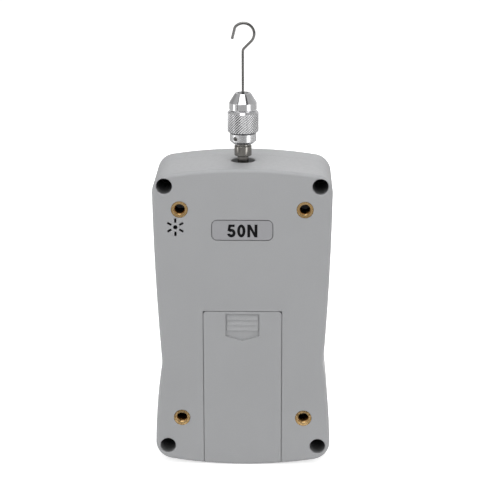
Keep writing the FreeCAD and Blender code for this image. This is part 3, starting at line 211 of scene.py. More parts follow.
def sized_tree(name, **sizes):
    """A Geometry Nodes tree with one named input for each size."""
    tree = bpy.data.node_groups.new(name, "GeometryNodeTree")
    faces = tree.interface
    faces.new_socket("Geometry", in_out="INPUT", socket_type="NodeSocketGeometry")
    for size, value in sizes.items():
        kind = {float: "NodeSocketFloat", int: "NodeSocketInt", Vector: "NodeSocketVector"}[type(value)]
        faces.new_socket(size.replace("_", " "), in_out="INPUT", socket_type=kind).default_value = value
    faces.new_socket("Geometry", in_out="OUTPUT", socket_type="NodeSocketGeometry")
    return tree, tree.nodes.new("NodeGroupInput").outputs


def close_tree(tree, shape, material):
    """Ends a tree: real faces, and the material on them."""
    solid = step(tree, "GeometryNodeRealizeInstances", Geometry=shape)
    tree.links.new(step(tree, "GeometryNodeSetMaterial", Geometry=solid, Material=material),
                   tree.nodes.new("NodeGroupOutput").inputs[0])


def placed(name, data):
    """A mesh, lamp or camera as an object in the scene."""
    thing = bpy.data.objects.new(name, data)
    bpy.context.scene.collection.objects.link(thing)
    return thing


def to_piece(name, mesh, corner_angle=35.0):
    """A mesh as a piece in the scene, smooth but for its corners."""
    mesh.name = name
    mesh.shade_smooth()
    mesh.set_sharp_from_angle(angle=math.radians(corner_angle))
    return placed(name, mesh)


def grown(name, tree, start, corner_angle=35.0, **sizes):
    """Runs a tree on a start mesh, with sizes other than its own, and keeps a plain piece."""
    blank = placed(name + "_blank", start)
    modifier = blank.modifiers.new(name, "NODES")
    modifier.node_group = tree
    for item in tree.interface.items_tree:
        size = item.name.replace(" ", "_")
        if item.in_out == "INPUT" and size in sizes:
            modifier[item.identifier] = sizes[size]
    bpy.context.view_layer.update()
    made = bpy.data.meshes.new_from_object(blank.evaluated_get(bpy.context.evaluated_depsgraph_get()))
    blank.modifiers.clear()
    bpy.data.objects.remove(blank)
    return to_piece(name, made, corner_angle)


def spots(name, places):
    """A start mesh of bare points."""
    mesh = bpy.data.meshes.new(name + "_spots")
    mesh.from_pydata([tuple(place) for place in places], [], [])
    return mesh


def joined(tree, *shapes):
    """Several shapes as one."""
    return step(tree, "GeometryNodeJoinGeometry", Geometry=list(shapes))


def moved(tree, shape, shift=(0.0, 0.0, 0.0), turn=(0.0, 0.0, 0.0)):
    """A shape turned about the origin and then shifted."""
    return step(tree, "GeometryNodeTransform", Geometry=shape, Translation=shift, Rotation=turn)


def cylinder(tree, radius, depth, corners=48, rings=1):
    """A closed cylinder on the Z axis, from 0 up to its depth."""
    body = step(tree, "GeometryNodeMeshCylinder", Vertices=corners, Side_Segments=rings,
                Radius=radius, Depth=depth)
    up = step(tree, "ShaderNodeCombineXYZ", Z=sum_of(tree, "MULTIPLY", depth, 0.5))
    return moved(tree, body, up)


def thread_ridge(tree, radius, pitch, length, size):
    """The raised ridge of a screw thread, swept along a helix."""
    turns = sum_of(tree, "DIVIDE", length, pitch)
    helix = step(tree, "GeometryNodeCurveSpiral", Resolution=24, Rotations=turns,
                 Start_Radius=radius, End_Radius=radius, Height=length)
    helix = step(tree, "GeometryNodeSetCurveNormal", settings={"mode": "Z_UP"}, Curve=helix)
    section = step(tree, "GeometryNodeCurvePrimitiveCircle", Resolution=4, Radius=size)
    return step(tree, "GeometryNodeCurveToMesh", Curve=helix, Profile_Curve=section, Fill_Caps=True)


def cut(tree, body, tools):
    """A body less its tools."""
    return step(tree, "GeometryNodeMeshBoolean", settings={"operation": "DIFFERENCE", "solver": "EXACT"},
                Mesh_1=body, Mesh_2=tools)


def turned_metal(name, colour, roughness, mark_spacing=0.00012, mark_depth=1.2e-6,
                 axis="Z", dull=0.06):
    """Turned metal: tool marks in rings across the axis, and a slightly uneven shine."""
    material, tree, shader, place = new_finish(name, metallic=1.0)
    across = step(tree, "ShaderNodeSeparateXYZ", outlet=axis, Vector=place)
    wander = speckle(tree, place, 500.0, -0.4, 0.4)
    turn = sum_of(tree, "MULTIPLY_ADD", across, 2 * math.pi / mark_spacing, wander)
    marks = sum_of(tree, "SINE", turn)
    fit(tree, shader, {
        "Base Color": toned(tree, colour, speckle(tree, place, 300.0, 0.96, 1.04, 4.0)),
        "Roughness": speckle(tree, place, 900.0, roughness - dull, roughness + dull, 3.0),
        "Normal": relief(tree, marks, mark_depth),
    })
    return material


insert_tree, size = sized_tree("threaded_insert", Radius=0.0034, Length=0.0095, Groove=0.00035,
                               Mouth_Radius=0.0028, Mouth_Depth=0.0009, Thread_Radius=0.00225,
                               Thread_Pitch=0.0007, Thread_Height=0.0002, Knurls=36)
blank = cylinder(insert_tree, size["Radius"], size["Length"], 72, 19)
here = step(insert_tree, "GeometryNodeInputPosition")
parts = step(insert_tree, "ShaderNodeSeparateXYZ", Vector=here).node.outputs
angle = sum_of(insert_tree, "ARCTAN2", parts["Y"], parts["X"])
teeth = sum_of(insert_tree, "COSINE", sum_of(insert_tree, "MULTIPLY", angle, size["Knurls"]))
from_middle = sum_of(insert_tree, "ABSOLUTE", sum_of(
    insert_tree, "SUBTRACT", sum_of(insert_tree, "DIVIDE", parts["Z"], size["Length"]), 0.5))
waist = sum_of(insert_tree, "LESS_THAN", from_middle, 0.08)
plain_ends = sum_of(insert_tree, "LESS_THAN", from_middle, 0.4)
sunk = sum_of(insert_tree, "MAXIMUM", waist, sum_of(insert_tree, "MULTIPLY", plain_ends, sum_of(
    insert_tree, "MULTIPLY", sum_of(insert_tree, "LESS_THAN", teeth, 0.0), 0.5)))
shrink = sum_of(insert_tree, "SUBTRACT", 1.0, sum_of(insert_tree, "MULTIPLY", sunk, sum_of(
    insert_tree, "DIVIDE", size["Groove"], size["Radius"])))
knurled = step(insert_tree, "GeometryNodeSetPosition", Geometry=blank, Position=vector_sum(
    insert_tree, "MULTIPLY", here, step(insert_tree, "ShaderNodeCombineXYZ", X=shrink, Y=shrink, Z=1.0)))
bore = moved(insert_tree, cylinder(insert_tree, size["Thread Radius"], 0.03), (0.0, 0.0, -0.01))
mouth = step(insert_tree, "GeometryNodeMeshCone", Vertices=64, Radius_Bottom=size["Mouth Radius"],
             Radius_Top=sum_of(insert_tree, "MULTIPLY", size["Thread Radius"], 0.8),
             Depth=size["Mouth Depth"])
mouth = moved(insert_tree, mouth, step(insert_tree, "ShaderNodeCombineXYZ", Z=sum_of(
    insert_tree, "MULTIPLY", size["Mouth Depth"], 0.499)))
bored = cut(insert_tree, cut(insert_tree, knurled, bore), mouth)
ridge = moved(insert_tree, thread_ridge(insert_tree, size["Thread Radius"], size["Thread Pitch"], sum_of(
    insert_tree, "SUBTRACT", size["Length"], sum_of(insert_tree, "MULTIPLY", size["Mouth Depth"], 1.3)),
    size["Thread Height"]), step(insert_tree, "ShaderNodeCombineXYZ", Z=size["Mouth Depth"]))
bush = moved(insert_tree, joined(insert_tree, bored, ridge), turn=(math.radians(-90), 0.0, 0.0))
brass = turned_metal("turned_brass", (0.86, 0.58, 0.27), 0.24, axis="Y")
insert_mouths = [Vector(((low.x + high.x) / 2, low.y, (low.z + high.z) / 2))
                 for low, high in solid_boxes("brass_inserts")]
# Painted shade: the brass darkens in a thin ring at each insert's outer rim, and deeper into its threaded
# bore.
tree, place = reopened(brass)
tinted(brass, shaded(tree, nearest(tree, place, insert_mouths),
                     start=0.0031, end=0.0034, level=0.40))
tinted(brass, shaded(tree, step(tree, "ShaderNodeSeparateXYZ", outlet="Y", Vector=place),
                     start=0.0006, end=0.0022, level=0.16))
close_tree(insert_tree, step(insert_tree, "GeometryNodeInstanceOnPoints", Points=size["Geometry"],
                             Instance=bush), brass)
inserts = grown("stand_inserts", insert_tree, spots("inserts", insert_mouths))
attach(inserts, "case")
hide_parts("brass_inserts")

# Load cell: a milled aluminium beam with two strain gauges, held at one end
# on a zinc-plated steel bracket that two screws hold to posts in the shell.


def milled_metal(name, colour, roughness, direction="X", streaks=9000.0):
    """Flat metal with fine straight tool or rolling marks along one direction."""
    material, tree, shader, place = new_finish(name, metallic=1.0)
    stretch = {"X": (0.03, 1.0, 1.0), "Y": (1.0, 0.03, 1.0), "Z": (1.0, 1.0, 0.03)}[direction]
    along = step(tree, "ShaderNodeMapping", Vector=place, Scale=stretch)
    marks = speckle(tree, along, streaks, 0.0, 1.0, 3.0)
    fit(tree, shader, {
        "Base Color": toned(tree, colour, speckle(tree, place, 150.0, 0.95, 1.05, 3.0)),
        "Roughness": speckle(tree, along, streaks / 3, roughness - 0.07, roughness + 0.07),
        "Normal": relief(tree, marks, 2.0e-6),
    })
    return material


def zinc_plate(name, colour=(0.62, 0.63, 0.65), roughness=0.33):
    """Zinc plating with its faint spangle and cloudy passivation."""
    material, tree, shader, place = new_finish(name, metallic=1.0)
    cells = step(tree, "ShaderNodeTexVoronoi", Vector=place, Scale=900.0)
    cloud = speckle(tree, place, 120.0, 0.93, 1.05, 4.0)
    tone = sum_of(tree, "MULTIPLY_ADD", cells, 0.06, cloud)
    fit(tree, shader, {
        "Base Color": toned(tree, colour, tone),
        "Roughness": speckle(tree, place, 400.0, roughness - 0.06, roughness + 0.08, 3.0),
        "Normal": relief(tree, speckle(tree, place, 1500.0, 0.0, 1.0, 3.0), 3.0e-6),
    })
    return material


bright_zinc = zinc_plate("bright_zinc")
dress("load_cell", milled_metal("milled_aluminium", (0.80, 0.80, 0.82), 0.32))
dress("cell_bracket", bright_zinc)
dress("shaft_nut", bright_zinc)


def either(tree, share, first, second):
    """The first colour where the share is 0 and the second where it is 1."""
    return step(tree, "ShaderNodeMix", 2, {"data_type": "RGBA"}, n0=share, n6=first, n7=second)


foil, tree, shader, place = new_finish("gauge_foil", roughness=0.35)
grid = step(tree, "ShaderNodeTexWave", settings={"bands_direction": "X"}, Vector=place, Scale=1500.0)
fit(tree, shader, {
    "Base Color": either(tree, sum_of(tree, "GREATER_THAN", grid, 0.72),
                         (0.55, 0.30, 0.07, 1.0), (0.62, 0.60, 0.56, 1.0)),
    "Roughness": speckle(tree, place, 800.0, 0.28, 0.42),
    "Coat Weight": 0.4,
})
dress("strain_gauges", foil)

# Machine screws: steel pan heads with a cross recess and a rolled thread.
# They hold the bracket, the beam, the board and, blackened, the two shells.

screw_tree, size = sized_tree("machine_screws", Head_Radius=0.0027, Head_Height=0.002,
                              Shank_Radius=0.00145, Length=0.012, Thread_Pitch=0.0007,
                              Turn=Vector((0.0, 0.0, 0.0)))
ball = step(screw_tree, "GeometryNodeMeshUVSphere", Segments=40, Rings=24, Radius=1.0)
here = step(screw_tree, "GeometryNodeInputPosition")
parts = step(screw_tree, "ShaderNodeSeparateXYZ", Vector=here).node.outputs
out = sum_of(screw_tree, "SQRT", sum_of(
    screw_tree, "ADD", sum_of(screw_tree, "MULTIPLY", parts["X"], parts["X"]),
    sum_of(screw_tree, "MULTIPLY", parts["Y"], parts["Y"])))
pan = 5.0
square = sum_of(screw_tree, "POWER", sum_of(
    screw_tree, "ADD", sum_of(screw_tree, "POWER", out, pan),
    sum_of(screw_tree, "POWER", sum_of(screw_tree, "ABSOLUTE", parts["Z"]), pan)), -1 / pan)
wide = sum_of(screw_tree, "MULTIPLY", square, size["Head Radius"])
rise = sum_of(screw_tree, "MAXIMUM", 0.0, sum_of(screw_tree, "MULTIPLY", sum_of(
    screw_tree, "MULTIPLY", square, parts["Z"]), size["Head Height"]))
dome = step(screw_tree, "GeometryNodeSetPosition", Geometry=ball, Position=step(
    screw_tree, "ShaderNodeCombineXYZ", X=sum_of(screw_tree, "MULTIPLY", parts["X"], wide),
    Y=sum_of(screw_tree, "MULTIPLY", parts["Y"], wide), Z=rise))
dome = step(screw_tree, "GeometryNodeMergeByDistance", Geometry=dome, Distance=1e-6)
slot_long, slot_wide, slot_deep = [
    sum_of(screw_tree, "MULTIPLY", size["Head Radius"], share) for share in (1.15, 0.26, 0.9)]
top = step(screw_tree, "ShaderNodeCombineXYZ", Z=size["Head Height"])
head = dome
for x, y in ((slot_long, slot_wide), (slot_wide, slot_long)):
    slot = step(screw_tree, "GeometryNodeMeshCube", Size=step(
        screw_tree, "ShaderNodeCombineXYZ", X=x, Y=y, Z=slot_deep))
    head = cut(screw_tree, head, moved(screw_tree, slot, top))
core = sum_of(screw_tree, "MULTIPLY", size["Shank Radius"], 0.84)
shank = cylinder(screw_tree, core, size["Length"], 24)
ridge = thread_ridge(
    screw_tree, core, size["Thread Pitch"], sum_of(screw_tree, "MULTIPLY", size["Length"], 0.9),
    sum_of(screw_tree, "MULTIPLY", size["Shank Radius"], 0.155))
flip = moved(screw_tree, joined(screw_tree, shank, ridge), turn=(math.pi, 0.0, 0.0))
close_tree(screw_tree, step(screw_tree, "GeometryNodeInstanceOnPoints", Points=size["Geometry"],
                            Instance=joined(screw_tree, head, flip), Rotation=size["Turn"]), bright_zinc)


def screw_set(node, solids, head_side, head_radius, head_height, shank_radius, finish):
    """Real screws for a node's plain ones. The head faces the back, -1, or the display side, 1."""
    places, length = [], 0.0
    for low, high in solids:
        seat = low.y + head_height if head_side < 0 else high.y - head_height
        length = (high.y - low.y) - head_height
        places.append(((low.x + high.x) / 2, seat, (low.z + high.z) / 2))
    piece = grown(node + "_set", screw_tree, spots(node, places), Head_Radius=head_radius,
                  Head_Height=head_height, Shank_Radius=shank_radius, Length=length,
                  Turn=(math.radians(90 if head_side < 0 else -90), 0.0, 0.0))
    for index in range(len(piece.data.materials)):
        piece.data.materials[index] = finish
    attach(piece, "case")
    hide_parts(node)


black_oxide = zinc_plate("black_oxide", (0.03, 0.03, 0.032), 0.38)
low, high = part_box("beam_screws")
screw_set("beam_screws", solid_boxes("beam_screws", (low.x + high.x) / 2, rows=False), 1,
          0.0027, 0.0024, 0.0015, bright_zinc)
screw_set("bracket_screws", solid_boxes("bracket_screws"), 1,
          0.0025, 0.0018, 0.0013, bright_zinc)
screw_set("board_screws", solid_boxes("board_screws"), -1,
          0.0021, 0.0014, 0.0011, bright_zinc)
screw_set("case_screws", solid_boxes("case_screws"), -1,
          0.0027, 0.0020, 0.00145, black_oxide)

# Measuring shaft: turned steel, dark nickel-plated, from the load cell up
# through the hole in the shell's top. The chuck screws onto its stud.

shaft_low, shaft_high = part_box("sensor_shaft")
axis_y = (shaft_low.y + shaft_high.y) / 2


def mesh_of(name, shape):
    """Ends a shape built face by face: a mesh with every face turned outwards."""
    bmesh.ops.recalc_face_normals(shape, faces=shape.faces)
    mesh = bpy.data.meshes.new(name)
    shape.to_mesh(mesh)
    shape.free()
    return mesh


def turned_blank(profile, corners, edge=0.00006, straight=0.05):
    """A closed shape turned on the measuring axis from (radius, height) points, its edges eased."""
    outline = []
    for place, point in enumerate(map(Vector, profile)):
        sides = [Vector(profile[place - 1]) - point, Vector(profile[(place + 1) % len(profile)]) - point]
        if point.x == 0.0 or abs(sides[0].normalized().cross(sides[1].normalized())) < straight:
            outline.append(tuple(point))
            continue
        for side, shares in zip(sides, ((2, 1), (1, 2))):
            outline += [tuple(point + side * min(edge * share / side.length, 0.2 * share))
                        for share in shares]
    shape = bmesh.new()
    rings = []
    for radius, height in outline:
        turns = [2 * math.pi * k / corners for k in range(corners if radius else 1)]
        ring = [shape.verts.new((radius * math.cos(a), axis_y + radius * math.sin(a), height))
                for a in turns]
        rings.append(ring * (corners // len(ring)))
    for one, other in zip(rings, rings[1:] + rings[:1]):
        for k in range(corners):
            n = (k + 1) % corners
            points = list(dict.fromkeys((one[k], one[n], other[n], other[k])))
            if len(points) > 2:
                shape.faces.new(points)
    return mesh_of("turned_blank", shape)


seat = shaft_high.z - 0.007
head_top, head_foot = seat - 0.00065, seat - 0.0049
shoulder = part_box("load_cell")[1].z + 0.00035
flange_top = shoulder + 0.0024
stem, flange, neck, head = 0.002, 0.0039, 0.00225, 0.0035
bevel, ledge, stud = 0.00025, 0.00305, 0.0029
shaft_mesh = turned_blank(
    [(0.0, shaft_low.z), (stem, shaft_low.z), (stem, shoulder), (flange, shoulder), (flange, flange_top),
     (neck, flange_top), (neck, head_foot), (head - bevel, head_foot), (head, head_foot + bevel),
     (head, head_top - bevel), (head - bevel, head_top), (ledge, head_top), (ledge, seat), (stud, seat),
     (stud, shaft_high.z), (0.0, shaft_high.z)], 128, 0.00005)
shaft_mesh.materials.append(turned_metal(
    "dark_nickel", (0.27, 0.258, 0.240), 0.11, 0.00022, 0.6e-6, dull=0.03))
shaft = to_piece("measuring_shaft", shaft_mesh, 50.0)
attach(shaft, "shaft")
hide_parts("sensor_shaft")

# Main board: green glass-fibre circuit board with its chips and the load
# cell's plug. Display, buzzer and tact switches are soldered to it.

board_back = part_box("main_board")[1].y - 0.0016
board, tree, shader, place = new_finish("green_board", roughness=0.32)
parts = step(tree, "ShaderNodeSeparateXYZ", Vector=place).node.outputs
chip = sum_of(tree, "LESS_THAN", parts["Y"], board_back - 0.00002)
tracks = step(tree, "ShaderNodeTexVoronoi", settings={"distance": "MANHATTAN", "feature": "F1"},
              Vector=place, Scale=260.0, Randomness=0.85)
track = sum_of(tree, "GREATER_THAN", step(tree, "ShaderNodeTexBrick", 1, Vector=step(
    tree, "ShaderNodeCombineXYZ", X=parts["X"], Y=parts["Z"]), Scale=1.0, Mortar_Size=0.00016,
    Brick_Width=0.0042, Row_Height=0.0016), 0.5)
pad_spot = sum_of(tree, "LESS_THAN", tracks, 0.16)
resist = either(tree, track, (0.020, 0.150, 0.055, 1.0), (0.045, 0.260, 0.095, 1.0))
plated = either(tree, pad_spot, resist, (0.60, 0.60, 0.58, 1.0))
fit(tree, shader, {
    "Base Color": either(tree, chip, plated, (0.018, 0.018, 0.020, 1.0)),
    "Roughness": sum_of(tree, "MULTIPLY_ADD", chip, 0.25, speckle(tree, place, 900.0, 0.24, 0.34)),
    "Normal": relief(tree, sum_of(tree, "ADD", track, speckle(tree, place, 3000.0, 0.0, 0.3)), 8.0e-6),
})
dress("main_board", board)
dress("buzzer", moulded_plastic("buzzer_plastic", (0.010, 0.010, 0.011), 0.60, 3e-6, 0.15))
dress("tact_switches", moulded_plastic("switch_plastic", (0.030, 0.030, 0.032), 0.42, 3e-6))
lead_pvc = moulded_plastic("lead_pvc", (0.045, 0.045, 0.048), 0.34, 4e-6)
for lead in ("battery_leads", "cell_lead"):
    dress(lead, lead_pvc)

# Display: a reflective liquid-crystal module on the board. Its four figures
# have seven segments each; the ones not lit show faintly in the glass.

lcd_low, lcd_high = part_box("lcd_module")
glass, tree, shader, place = new_finish("display_glass", roughness=0.16)
parts = step(tree, "ShaderNodeSeparateXYZ", Vector=place).node.outputs
lcd_middle, half_view_wide, half_view_tall = (lcd_low.z + lcd_high.z) / 2, 0.0222, 0.0128
aside = sum_of(tree, "ABSOLUTE", parts["X"])
above = sum_of(tree, "ABSOLUTE", sum_of(tree, "SUBTRACT", parts["Z"], lcd_middle))
in_view = sum_of(tree, "MULTIPLY", sum_of(tree, "LESS_THAN", aside, half_view_wide),
                 sum_of(tree, "LESS_THAN", above, half_view_tall))
fit(tree, shader, {
    "Base Color": either(tree, in_view, (0.30, 0.31, 0.30, 1.0), (0.33, 0.38, 0.29, 1.0)),
    "Roughness": speckle(tree, place, 600.0, 0.12, 0.20),
    "Coat Weight": 0.5,
})
dress("lcd_module", glass)

segment_ink = moulded_plastic("segment_ink", (0.008, 0.009, 0.012), 0.50, 1e-6, 0.1)
ghost_ink = moulded_plastic("unlit_segment", (0.275, 0.318, 0.245), 0.40, 1e-6)
nought = "abcdef"
figure_tall, figure_wide, bar = 0.0150, 0.0068, 0.0016
first_figure, figure_step = 0.0150, 0.0100
ink_depth = 0.00006


def bar_outline(x, z, length, upright):
    """One segment's six corners: a bar with pointed ends."""
    half, thick = length / 2 - bar * 0.08, bar / 2
    points = [(-half, 0), (-half + thick, thick), (half - thick, thick), (half, 0),
              (half - thick, -thick), (-half + thick, -thick)]
    return [(x + (b if upright else a), z + (a if upright else b)) for a, b in points]


def flat_ink(name, outlines, face_y, depth, material, body, facing=1):
    """Printed or etched shapes as thin plates that stand on a face of the gauge."""
    shape = bmesh.new()
    for outline in outlines:
        near = [shape.verts.new((x, face_y, z)) for x, z in outline]
        far = [shape.verts.new((x, face_y + depth * facing, z)) for x, z in outline]
        shape.faces.new(near)
        shape.faces.new(far[::-1])
        for first in range(len(outline)):
            second = (first + 1) % len(outline)
            shape.faces.new((near[first], far[first], far[second], near[second]))
    mesh = mesh_of(name, shape)
    mesh.materials.append(material)
    piece = to_piece(name, mesh)
    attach(piece, body)
    return piece


figures_below = 0.0008
middle_z = lcd_middle - figures_below
lit_bars, dark_bars, across, half_tall = [], [], figure_wide / 2, figure_tall / 2
for figure in range(4):
    # Seen from the display side, the first figure stands at the highest X.
    centre = first_figure - figure_step * figure
    for letter, side, level in (("a", 0, 1), ("d", 0, -1), ("g", 0, 0), ("b", -1, 0.5),
                                ("f", 1, 0.5), ("c", -1, -0.5), ("e", 1, -0.5)):
        (lit_bars if letter in nought else dark_bars).append(bar_outline(
            centre + side * across, middle_z + level * half_tall,
            half_tall if side else figure_wide, side != 0))
point_x, point_z, point_radius = first_figure - figure_step * 2.5, middle_z - half_tall - 0.0001, 0.00075
lit_bars.append([(point_x + point_radius * math.cos(a), point_z + point_radius * math.sin(a))
                 for a in [math.radians(30 * k) for k in range(12)]])
flat_ink("display_figures", lit_bars, lcd_high.y, ink_depth, segment_ink, "case")
flat_ink("display_unlit", dark_bars, lcd_high.y, ink_depth / 2, ghost_ink, "case")

# Display window: clear acrylic, glued flush into the front shell, with a
# dark border printed on its inner face round the view of the display.

window_low, window_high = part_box("display_window")


def rounded(half_wide, half_tall, radius, centre, steps=8):
    """The outline of a rounded rectangle, corner by corner."""
    points = []
    for corner, (sx, sz) in enumerate(((1, 1), (-1, 1), (-1, -1), (1, -1))):
        for k in range(steps + 1):
            turn = math.radians(90 * corner + 90 * k / steps)
            points.append((centre[0] + sx * (half_wide - radius) + radius * math.cos(turn),
                           centre[1] + sz * (half_tall - radius) + radius * math.sin(turn)))
    return points


def framed_plate(name, outside, inside, low_y, high_y, material):
    """A flat ring between two outlines with the same number of points."""
    shape = bmesh.new()
    rings = [[shape.verts.new((x, y, z)) for x, z in outline]
             for y in (low_y, high_y) for outline in (outside, inside)]
    count = len(outside)
    for k in range(count):
        n = (k + 1) % count
        for one, other in ((0, 1), (3, 2), (2, 0), (1, 3)):
            shape.faces.new((rings[one][k], rings[one][n], rings[other][n], rings[other][k]))
    mesh = mesh_of(name, shape)
    mesh.materials.append(material)
    return to_piece(name, mesh)


clear, tree, shader, place = new_finish("clear_acrylic", roughness=0.03)
fit(tree, shader, {
    "Base Color": toned(tree, (0.93, 0.95, 0.96), speckle(tree, place, 60.0, 0.99, 1.0)),
    "Roughness": speckle(tree, place, 300.0, 0.02, 0.05),
    "Transmission Weight": 1.0,
    "IOR": 1.49,
})
window_middle = ((window_low.x + window_high.x) / 2, (window_low.z + window_high.z) / 2)
half_window = ((window_high.x - window_low.x) / 2, (window_high.z - window_low.z) / 2)
film = 0.00008
window_edge = rounded(*half_window, 0.003, window_middle)
pane = flat_ink("window_pane", [window_edge], window_low.y + film,
                window_high.y - window_low.y - film, clear, "case")
soften = pane.modifiers.new("edge", "BEVEL")
soften.width, soften.segments, soften.limit_method = 0.00012, 2, "ANGLE"
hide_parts("display_window")
border_ink = moulded_plastic("border_ink", (0.035, 0.042, 0.055), 0.45, 2e-6)
border = framed_plate("window_border", window_edge, rounded(0.0218, 0.0122, 0.001, window_middle),
                      window_low.y, window_low.y + film, border_ink)
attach(border, "case")

# Keys: six satin moulded caps in the front shell, each over its own tact
# switch, with a printed sign: power, unit, peak, down, zero and up.

cap_plastic = moulded_plastic("key_cap", (0.075, 0.083, 0.095), 0.44, 5e-6)
power_plastic = moulded_plastic("power_key_cap", (0.34, 0.035, 0.030), 0.44, 5e-6)
sign_ink = moulded_plastic("sign_ink", (0.72, 0.73, 0.74), 0.50, 1e-6)


def ring_band(x, z, radius, thickness, start, end, taller=0.0):
    """Part of a ring or an upright oval, as one closed outline."""
    turns = [math.radians(start + (end - start) * k / 28) for k in range(29)]
    outer, inner = radius + thickness / 2, radius - thickness / 2
    return ([(x + outer * math.cos(t), z + (outer + taller) * math.sin(t)) for t in turns] +
            [(x + inner * math.cos(t), z + (inner + taller) * math.sin(t)) for t in turns[::-1]])


def bar_between(x, z, wide, tall):
    """A level or upright bar, as one closed outline."""
    return [(x - wide / 2, z - tall / 2), (x + wide / 2, z - tall / 2),
            (x + wide / 2, z + tall / 2), (x - wide / 2, z + tall / 2)]


def set_out(outlines, x, z, wide=0.001, tall=0.001):
    """Outlines drawn about a middle or corner, set there at their real size."""
    return [[(x + a * wide, z + b * tall) for a, b in outline] for outline in outlines]


key_signs = {
    "key_power": [ring_band(0.0, -0.1, 1.7, 0.45, 125, 415), bar_between(0.0, 1.2, 0.5, 2.0)],
    "key_unit": [ring_band(0.0, 0.0, 1.6, 0.42, 20, 160), ring_band(0.0, 0.0, 1.6, 0.42, 200, 340),
                 [(2.3, 0.7), (1.0, 0.7), (1.6, -0.3)], [(-2.3, -0.7), (-1.0, -0.7), (-1.6, 0.3)]],
    "key_peak": [bar_between(0.0, 1.9, 3.6, 0.42),
                 [(-2.0, -1.8), (-1.4, -1.8), (0.0, 0.6), (1.4, -1.8), (2.0, -1.8), (0.0, 1.5)]],
    "key_down": [[(-2.0, 1.1), (2.0, 1.1), (0.0, -1.7)]],
    "key_zero": [ring_band(0.0, 0.0, 0.82, 0.45, start, start + 180, 0.7) for start in (0, 180)],
    "key_up": [[(-2.0, -1.1), (2.0, -1.1), (0.0, 1.7)]],
}
sign_depth = 0.00001
for key, sign in key_signs.items():
    dress(key, power_plastic if key == "key_power" else cap_plastic)
    key_low, key_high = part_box(key)
    key_middle = (key_low + key_high) / 2
    flat_ink(key + "_sign", set_out(sign, key_middle.x, key_middle.z), key_high.y, sign_depth,
             sign_ink, key)

# Batteries: two round cells in printed sleeves, nickel-plated contact plates
# with tabs to the board's leads, and a wire spring under each cell's base.

dress("battery_contacts", milled_metal("nickel_sheet", (0.72, 0.71, 0.68), 0.24, "X", 5000.0))
dress("battery_springs", turned_metal("spring_wire", (0.70, 0.70, 0.69), 0.22, 0.0003, 1.0e-6))
for cell, nub_up in (("battery_cell_left", True), ("battery_cell_right", False)):
    cell_low, cell_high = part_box(cell)
    sleeve, tree, shader, place = new_finish(cell + "_sleeve", roughness=0.30)
    height = step(tree, "ShaderNodeSeparateXYZ", outlet="Z", Vector=place)
    share = step(tree, "ShaderNodeMapRange", Value=height, From_Min=cell_low.z if nub_up else cell_high.z,
                 From_Max=cell_high.z if nub_up else cell_low.z, To_Min=0.0, To_Max=1.0)
    base_end, band_start, nub_end = 0.012, 0.72, 0.968
    metal = sum_of(tree, "MAXIMUM", sum_of(tree, "LESS_THAN", share, base_end),
                   sum_of(tree, "GREATER_THAN", share, nub_end))
    band = sum_of(tree, "GREATER_THAN", share, band_start)
    printed = either(tree, band, (0.20, 0.22, 0.24, 1.0), (0.030, 0.110, 0.085, 1.0))
    fit(tree, shader, {
        "Base Color": either(tree, metal, printed, (0.68, 0.68, 0.69, 1.0)),
        "Metallic": metal,
        "Roughness": speckle(tree, place, 500.0, 0.26, 0.36),
        "Normal": relief(tree, speckle(tree, place, 700.0, 0.0, 1.0), 4e-6),
        "Coat Weight": 0.3,
    })
    dress(cell, sleeve)

# Battery cover: a sliding lid in the shells' grey ABS. Its thumb grip is a
# shield pressed into the lid, with level ribs for the thumb.

dress("battery_cover", grey_abs)

# Range label: a printed matt film in its own recess, with plain figures for
# the gauge's range in newtons.

label_low, label_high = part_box("range_label")
label_film = moulded_plastic("label_film", (0.326, 0.326, 0.340), 0.42, 4e-6)
label_middle, label_corner = (label_low + label_high) / 2, 0.0020
straight = label_high - label_middle - Vector((label_corner, 0.0, label_corner))
straight.y = 1.0
# Painted shade: the film darkens in a thin band along its rim, where it meets the edge of its recess.
tree, place = reopened(label_film)
beyond = vector_sum(tree, "SUBTRACT", vector_sum(
    tree, "ABSOLUTE", vector_sum(tree, "SUBTRACT", place, label_middle)), straight)
rim = vector_sum(tree, "LENGTH", vector_sum(tree, "MAXIMUM", beyond, (0.0, 0.0, 0.0)))
tinted(label_film, shaded(tree, rim, start=label_corner - 0.00022, end=label_corner - 0.00012,
                          level=0.30))
dress("range_label", label_film)
label_ink = moulded_plastic("label_ink", (0.004, 0.004, 0.005), 0.55, 1e-6, 0.12)
left, foot, print_depth = label_middle.x - 0.00603, label_middle.z - 0.00290, 0.00002
five = [[(0.62, 5.03), (3.0, 5.03), (3.0, 4.05), (1.48, 4.05), (1.33, 3.1), (1.05, 2.62), (0.12, 2.42)],
        ring_band(1.65, 1.65, 1.13, 1.14, -168, 142)]
zero = [ring_band(5.65, 2.515, 1.08, 1.14, start, start + 180, taller=0.885) for start in (90, 270)]
newton = [[(8.05, 0.0), (8.05, 5.03), (9.25, 5.03), (10.95, 1.95), (10.95, 5.03), (12.10, 5.03),
           (12.10, 0.0), (10.95, 0.0), (9.20, 3.12), (9.20, 0.0)]]
flat_ink("range_figures", set_out(five + zero + newton, left, foot, tall=0.00105),
         label_low.y, print_depth, label_ink, "case", facing=-1)

# Chuck body: a turned, satin-chromed collar that screws onto the shaft's
# stud, with a tommy-bar hole and a threaded spigot for the clamping nut.

